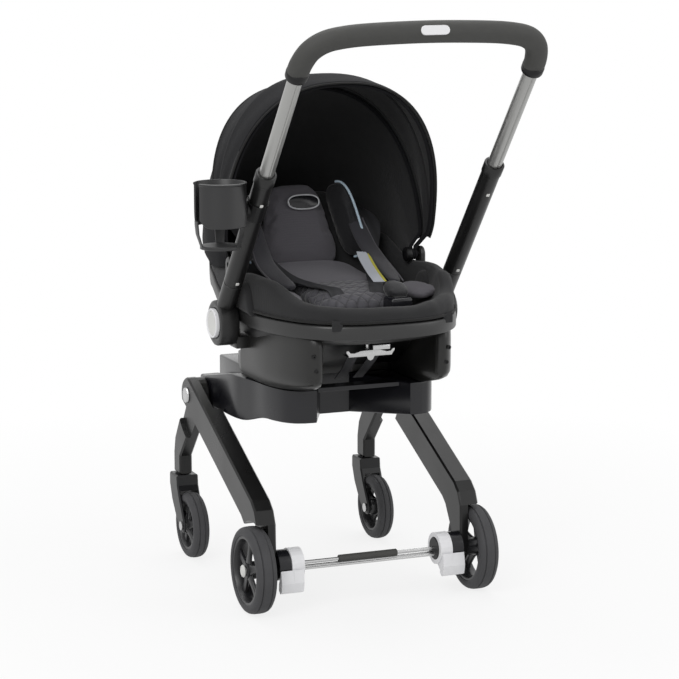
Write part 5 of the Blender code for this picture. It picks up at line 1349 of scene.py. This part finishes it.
@dataclass
class Carrier:
    """The moulded bucket with its lip and ears, its light rear cover and the skirted base."""

    bucket: Bucket = field(default_factory=Bucket)
    wall: float = 0.006
    cover_wall: float = 0.004
    cover_edge: float = -0.030
    canopy_pivot: Point = (-0.0167, 0.575)
    recess: float = 0.103
    skirt_back: float = -0.0305
    skirt_foot: tuple = ((0.103, -0.183), (0.107, -0.186), (0.115, -0.184), (0.124, -0.179), (0.137, -0.164),
                         (0.146, -0.142), (0.153, -0.111), (0.160, -0.0305))
    skirt_plan: tuple = ((0.103, -0.254), (0.108, -0.263), (0.119, -0.265), (0.132, -0.253), (0.145, -0.224),
                         (0.157, -0.180), (0.165, -0.120), (0.168, -0.0305))
    skirt_levels: tuple = ((0.3773, 0.0, 0.0030), (0.3785, 0.06, 0.0008), (0.3830, 0.36, 0.0),
                           (0.3890, 0.66, 0.0), (0.3960, 0.87, 0.0), (0.4050, 0.98, 0.0), (0.4150, 1.0, 0.0),
                           (0.4620, 1.0, 0.0), (0.4740, 1.0, 0.0010), (0.4788, 1.0, 0.0040),
                           (0.4794, 1.0, 0.0065))
    ear: Point = (-0.092, 0.528)
    screws: tuple = ((0.1235, 0.4500), (0.1190, 0.4250))

    def shell(self) -> None:
        """Bucket, rounded lip and the two pairs of ears that stand on it."""
        ring, wall, out = self.bucket.ring, self.bucket.wall, self.bucket.lip_out
        drops = (1.0, 0.97, 0.93, 0.88, 0.78, 0.66, 0.55, 0.45, 0.35, 0.25, 0.15, 0.07, 0.0)
        skin = self.bucket.base(out) + [wall(out, drop) for drop in drops]
        lip = [ring(0.0090, -0.0235), ring(0.0082, -0.0250), ring(0.0020, -0.0252), ring(0.0006, -0.0244),
               ring(0.0, -0.0228), ring(0.0, -0.0140), ring(0.0, -0.0050), ring(0.0007, -0.0022),
               ring(0.0024, -0.0006), ring(0.0045, 0.0), ring(0.0120, 0.0), ring(0.0130, -0.0012),
               ring(0.0130, -0.0220)]
        inner = [wall(out + self.wall, drop, self.wall) for drop in (0.0, 0.25, 0.45, 0.70, 0.88, 1.0)]
        inner += self.bucket.base(out + self.wall, self.wall)[::-1]
        # The bucket takes the deepest black as painted shade: it lies in shadow inside the seat and the base.
        place("carrier_bucket", lofted(skin + inner), Palette.dark, "root", ["carrier_shell"])
        parts = [lofted(lip, looped=True)]
        for side, name in SIDES:
            for outline, reach in ((self.mount(), (0.1765, 0.1855)), (self.shroud(), (0.150, 0.1850))):
                ends = sorted(side * x for x in reach)
                parts.append(slab(Axis.X, outline, *ends, 0.0035, 4))
            ends = sorted(side * x for x in (0.1465, 0.1878))
            outline = self.foot(-0.131, -0.053) + arc(self.ear, 0.029, 4, 176, 24)
            hump = slab(Axis.X, outline, *ends, 0.0120, 5)
            place(f"ear_cover_{name}", hump, Palette.cover)
        place("carrier_lip", joined(parts), Palette.lip)

    def foot(self, first: float, last: float) -> list[tuple[float, float]]:
        """Lower edge of an ear, sunk a little way into the rim."""
        places = [first + (last - first) * k / 6 for k in range(7)]
        return [(y, between(self.bucket.rim, y) - 0.004) for y in places]

    def mount(self) -> list[tuple[float, float]]:
        """Side view of the ear that carries the hood's pivot."""
        y, z = self.canopy_pivot
        return self.foot(y - 0.016, y + 0.016) + arc((y, z), 0.014, 0, 180, 24)

    def shroud(self) -> list[tuple[float, float]]:
        """Side view of the rounded ear beside the handle's pivot."""
        return self.foot(-0.128, -0.056) + arc(self.ear, 0.026, 10, 170, 24)

    def rear_cover(self) -> None:
        """The light shell round the back of the bucket, with a rounded upper edge."""
        drops = [0.05, 0.07, 0.12, 0.20, 0.30, 0.40, 0.50, 0.60, 0.70, 0.78, 0.85, 0.88]
        outset = self.bucket.lip_out - self.cover_wall
        mid = self.bucket.lip_out - 0.0006
        edges = (drops[0], drops[-1])
        columns = [self.bucket.wall(outset + (0.0012 if drop in edges else 0.0), drop) for drop in drops]
        columns += [self.bucket.wall(mid, drop) for drop in reversed(drops)]
        top = self.bucket.wall(outset, 0.0)
        places = [k for k in range(self.bucket.steps) if top[k][1] > self.cover_edge]
        mesh = lofted([[ring[k] for ring in columns] for k in places])
        place("rear_cover_moulding", mesh, Palette.rear, "root", ["rear_cover"])

    def build(self) -> None:
        """Shell, rear cover and base."""
        self.shell()
        self.rear_cover()
        self.base()

    def skirt(self, side: int) -> BMesh:
        """A deep, bowed side of the base, on its pod at the foot and rounded under the lip."""
        foot = [Vector((x, y, 0.0)) for x, y in self.skirt_foot]
        full = [Vector((x, y, 0.0)) for x, y in self.skirt_plan]
        feet, fulls = smooth_path(foot, 8), smooth_path(full, 8)
        rings = []
        for z, share, inset in self.skirt_levels:
            loop = [a.lerp(b, share) for a, b in zip(feet, fulls)]
            middle = Vector((self.recess + 0.030, self.skirt_back, 0.0))
            loop = [p + (middle - p).normalized() * inset for p in loop]
            loop = [Vector((self.recess + inset, self.skirt_back, 0.0))] + loop
            loop[1] = Vector((self.recess + inset, loop[1].y, 0.0))
            rings.append([(side * p.x, p.y, z) for p in loop])
        return lofted(rings)

    def base(self) -> None:
        """Floor on the tray, the skirts with their screws, and the lugs with the handle's pins."""
        half = [(0.140, -0.120), (0.150, -0.040), (0.150, 0.020), (0.125, 0.100), (0.085, 0.150)]
        floor = mirrored([(self.recess - 0.004, -0.060)] + half)
        parts = [slab(Axis.Z, floor, 0.3773, 0.400, 0.002)]
        for side, name in SIDES:
            parts.append(self.skirt(side))
            pin = [(0.1866, 0.0), (0.1866, 0.010), (0.2110, 0.010), (0.2110, 0.0)]
            parts.append(turned(Axis.X, Handle().hub, pin, 32, side=side))
            for low, high in (((0.160, -0.067, 0.4350), (0.1883, -0.033, 0.4560)),
                              ((0.1866, -0.064, 0.4380), (0.1889, -0.036, 0.4860))):
                near, far = sorted((side * low[0], side * high[0]))
                parts.append(block((near, *low[1:]), (far, *high[1:]), 0.0010, 2))
            head = [(-0.2590, 0.0), (-0.2590, 0.0030), (-0.2668, 0.0036), (-0.2668, 0.0016),
                    (-0.2650, 0.0012), (-0.2650, 0.0)]
            for number, (x, z) in enumerate(self.screws):
                place(f"base_screw_{name}_{number}", turned(Axis.Y, (side * x, z), head, 20), Palette.dark)
        place("base_moulding", joined(parts), Palette.skirt, "root", ["carrier_base"])


@dataclass
class Chassis:
    """The tray with its two rounded pods, and its plate, legs, forks and bolts, which keep their shapes."""

    half: float = 0.1715
    core: float = 0.128
    top: float = 0.377
    flat: float = 0.320
    shoulder: float = 0.012
    fall: float = 0.202
    mouth: tuple = ((0.0275, -0.053), (0.087, -0.187))
    pod: tuple = ((0.1085, -0.1865), (0.124, -0.180), (0.137, -0.165), (0.146, -0.142), (0.153, -0.111),
                  (0.1575, -0.071), (0.165, -0.033), (0.1710, 0.001), (0.1715, 0.060), (0.1715, 0.120),
                  (0.1700, 0.176), (0.150, 0.195))
    edge: tuple = ((-0.19, 0.320), (-0.12, 0.3185), (-0.02, 0.3000), (0.05, 0.2990), (0.19, 0.2990))
    pivot: Point = (0.1475, 0.315)

    def tray(self) -> BMesh:
        """The tray, whose outer wall hangs lower towards the legs' pivot."""
        half = list(self.mouth) + [(p.x, p.y) for p in smooth_path([(x, y, 0.0) for x, y in self.pod], 5)]
        rings = []
        for share, lift, inset in ((0.0, 0.0030, 0.0090), (1.0, 0.0030, 0.0050), (1.0, 0.0006, 0.0032),
                                   (1.0, 0.0, 0.0016), (1.0, 0.0010, 0.0004), (1.0, 0.0030, 0.0)):
            rings.append(self.loop(half, inset, lambda y, s=share, up=lift: self.under(y, s) + up))
        for drop, inset in ((0.0030, 0.0), (0.0010, 0.0005), (0.0, 0.0028)):
            rings.append(self.loop(half, inset, lambda y, down=drop: self.over(y) - down))
        core = slab(Axis.Z, mirrored([(self.core, -0.020), (self.core, 0.194)]), 0.330, self.top, 0.003)
        return joined([lofted(rings), core])

    def under(self, y: float, share: float) -> float:
        """Height of the tray's lower face, which reaches the hanging edge as the share goes to 1."""
        return self.flat + (between(self.edge, y) - self.flat) * share

    def over(self, y: float) -> float:
        """Height of the tray's sides, which fall away behind the shoulder."""
        return self.top - self.fall * max(0.0, y - self.shoulder)

    def loop(self, half: list[tuple[float, float]], inset: float, height: Callable[[float], float]) -> Ring:
        """The tray's outline drawn in by an inset, at a height for each place along it."""
        both = mirrored(half)
        ring = []
        for number, (x, y) in enumerate(both):
            (ax, ay), (bx, by) = both[number - 1], both[(number + 1) % len(both)]
            run = Vector((bx - ax, by - ay)).normalized()
            spot = Vector((x, y)) + Vector((-run.y, run.x)) * inset
            ring.append((spot.x, spot.y, height(y)))
        return ring

    def build(self) -> None:
        """The tray, then every part that keeps its shape, with rounded edges."""
        parts = [self.tray()]
        for side, _ in SIDES:
            ends = sorted(side * x for x in (self.half - 0.0375, self.half))
            low = (ends[0], self.pivot[0] - 0.032, 0.2900)
            parts.append(block(low, (ends[1], self.pivot[0] + 0.030, 0.347), 0.004, 3))
        place("tray_moulding", joined(parts), Palette.gloss, "root", ["chassis_frame"])
        dress(Palette.gloss, "cross_plate", bevel=0.0012)
        for side, name in SIDES:
            dress(Palette.leg, f"rear_leg_{name}", f"front_leg_{name}", bevel=0.0016)
            dress(Palette.frame, f"caster_fork_{name}", bevel=0.0016)
            dress(Palette.steel, f"leg_pivot_bolt_{name}", f"front_axle_{name}", bevel=0.0004)


@dataclass
class Wheels:
    """Foamed tyres with a worn tread, on moulded rims of five spokes."""

    rear_x: float = 0.2065
    rear_y: float = -0.1937
    front_x: float = 0.184
    front_y: float = 0.1914
    rear_size: tuple[float, float] = (0.075, 0.036)
    front_size: tuple[float, float] = (0.0605, 0.030)
    depth: float = 0.0165
    spokes: int = 5

    def tyre(self, x: float, y: float, radius: float, width: float) -> BMesh:
        """A tyre with rounded shoulders, two grooves round its tread and a step at its bead."""
        half, inner = width / 2, radius - self.depth
        sidewall = [(half - 0.0030, inner), (half - 0.0008, inner + 0.0010), (half, inner + 0.0040),
                    (half, radius - 0.0100), (half - 0.0008, radius - 0.0064),
                    (half - 0.0026, radius - 0.0036), (half - 0.0052, radius - 0.0017)]
        tread = [(half - 0.0082, radius - 0.0007), (half - 0.0098, radius - 0.0022),
                 (half - 0.0112, radius - 0.0002)]
        right = sidewall + tread + [(0.0012, radius)]
        left = [(-d, r) for d, r in reversed(right)]
        profile = [(x + d, r) for d, r in right + left]
        return turned(Axis.X, (y, radius), profile, 96, looped=True)

    def rim(self, x: float, y: float, radius: float, width: float, side: int, bore: float) -> BMesh:
        """Barrel, hub and five bowed spokes."""
        half, outer = width / 2 - 0.002, radius - self.depth + 0.0004
        well = outer - 0.0045
        barrel = [(half, outer), (half - 0.0004, well + 0.0006), (half - 0.0020, well - 0.0004),
                  (0.0, well - 0.0030), (-half + 0.0020, well - 0.0004), (-half, well + 0.0010),
                  (-half, outer)]
        hub = [(half - 0.0008, bore), (half - 0.0008, 0.0120), (half - 0.0018, 0.0132), (0.0, 0.0155),
               (-half + 0.001, 0.0140), (-half, 0.0130), (-half, bore)]
        parts = [turned(Axis.X, (y, radius), [(x + side * d, r) for d, r in profile], 72, looped=True)
                 for profile in (barrel, hub)]
        for number in range(self.spokes):
            turn = math.radians(90 + 360 / self.spokes * number)
            path = []
            for step in range(9):
                share = step / 8
                reach = 0.0125 + (well - 0.0120) * share
                bow = side * (0.0048 + 0.0040 * (1 - share) ** 2)
                path.append((x + bow, y + reach * math.cos(turn), radius + reach * math.sin(turn)))
            across = (0.0, -math.sin(turn), math.cos(turn))
            parts.append(swept(path, across, lambda t: 0.0062 + 0.0030 * abs(2 * t - 1) ** 2.5, 0.0036, 20,
                               3.2))
        return joined(parts)

    def build(self) -> None:
        """Rear wheels with their caps, then the front wheels."""
        for side, name in SIDES:
            self.wheel("rear", side, name, (side * self.rear_x, self.rear_y), self.rear_size, 0.0064)
            out = self.rear_x + self.rear_size[1] / 2
            cap = [(0.173, 0.0), (0.173, 0.006), (out - 0.0004, 0.006), (out - 0.0004, 0.0100),
                   (out + 0.0003, 0.0107), (out + 0.0012, 0.0108), (out + 0.0026, 0.0098),
                   (out + 0.0036, 0.0072), (out + 0.0030, 0.0056), (out + 0.0034, 0.0046),
                   (out + 0.0042, 0.0030), (out + 0.0042, 0.0)]
            mesh = turned(Axis.X, (self.rear_y, self.rear_size[0]), cap, 48, side=side)
            place(f"rear_wheel_cap_{name}", mesh, Palette.cap, "rear_legs", [f"rear_axle_{name}"])
            self.wheel("front", side, name, (side * self.front_x, self.front_y), self.front_size, 0.0054)

    def wheel(self, end: str, side: int, name: str, spot: tuple[float, float], size: tuple[float, float],
              bore: float) -> None:
        """Tyre and rim of one wheel.

        Args:
            end: rear or front.
            side: -1 for the left and 1 for the right.
            name: left or right.
            spot: its place as (x, y).
            size: its radius and width.
            bore: radius of the hole for its axle.
        """
        body = f"{end}_wheel_{name}"
        place(f"{end}_tyre_foam_{name}", self.tyre(*spot, *size), Palette.tyre, body, [f"{end}_tyre_{name}"])
        place(f"{end}_rim_moulding_{name}", self.rim(*spot, *size, side, bore), Palette.rim, body,
              [f"{end}_rim_{name}"])


@dataclass
class Brake:
    """Barrels on the legs' necks, white foot pedals and the rods that join them."""

    y: float = -0.204
    z: float = 0.082
    radius: float = 0.0265
    barrel_in: float = 0.150
    pedal_in: float = 0.127
    leg_in: float = 0.172
    rod: float = 0.0032

    def build(self) -> None:
        """Both sides, then the rods and their sleeve."""
        axis = (self.y, self.z)
        for side, name in SIDES:
            r = self.radius
            barrel = [(self.barrel_in, 0.0), (self.barrel_in, r - 0.0015),
                      (self.barrel_in + 0.0012, r - 0.0002), (self.barrel_in + 0.0030, r),
                      (self.leg_in - 0.0003, r), (self.leg_in - 0.0003, 0.0)]
            place(f"brake_barrel_{name}", turned(Axis.X, axis, barrel, 56, side=side), Palette.gloss,
                  "rear_legs", [f"brake_housing_{name}"])
            dress(Palette.white, f"brake_pedal_{name}", bevel=0.0016)
            face = self.pedal_in
            disc = [(face - 0.0014, 0.0), (face - 0.0014, 0.0188), (face - 0.0002, 0.0200),
                    (face + 0.0010, 0.0200), (face + 0.0010, 0.0)]
            place(f"brake_disc_{name}", turned(Axis.X, axis, disc, 48, side=side), Palette.dark,
                  "brake_pedals")
        self.rods()

    def rods(self) -> None:
        """Three thin plated rods from disc to disc, and the black sleeve on the thickest."""
        end = self.pedal_in - 0.0010
        parts = []
        for dy, dz, r in ((0.0, 0.0, self.rod), (0.0065, -0.0085, 0.0022), (-0.0060, -0.0095, 0.0022)):
            profile = [(-end, 0.0), (-end, r), (end, r), (end, 0.0)]
            parts.append(turned(Axis.X, (self.y + dy, self.z + dz), profile, 20))
        place("brake_rods", joined(parts), Palette.steel, "brake_pedals", ["brake_link_rod"])
        sleeve = [(-0.0545, 0.0034), (-0.0545, 0.0056), (-0.0536, 0.0065), (0.0536, 0.0065), (0.0545, 0.0056),
                  (0.0545, 0.0034)]
        place("brake_rod_sleeve", turned(Axis.X, (self.y, self.z), sleeve, 28, looped=True), Palette.grip,
              "brake_pedals", ["rod_sleeve"])


def main() -> None:
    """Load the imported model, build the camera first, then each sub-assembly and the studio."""
    logging.basicConfig(level=logging.INFO, format="%(name)s: %(message)s")
    for old in list(bpy.data.objects):
        bpy.data.objects.remove(old, do_unlink=True)
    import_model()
    bpy.context.scene.view_settings.view_transform = "Standard"
    studio = Studio()
    studio.camera()
    for part in (Canopy(), Cover(), Pads(), Harness(), Handle(), CupHolder(), Carrier(), Chassis(), Wheels(),
                 Brake()):
        log.info("building %s", type(part).__name__)
        part.build()
    studio.build()


if __name__ == "__main__":
    main()
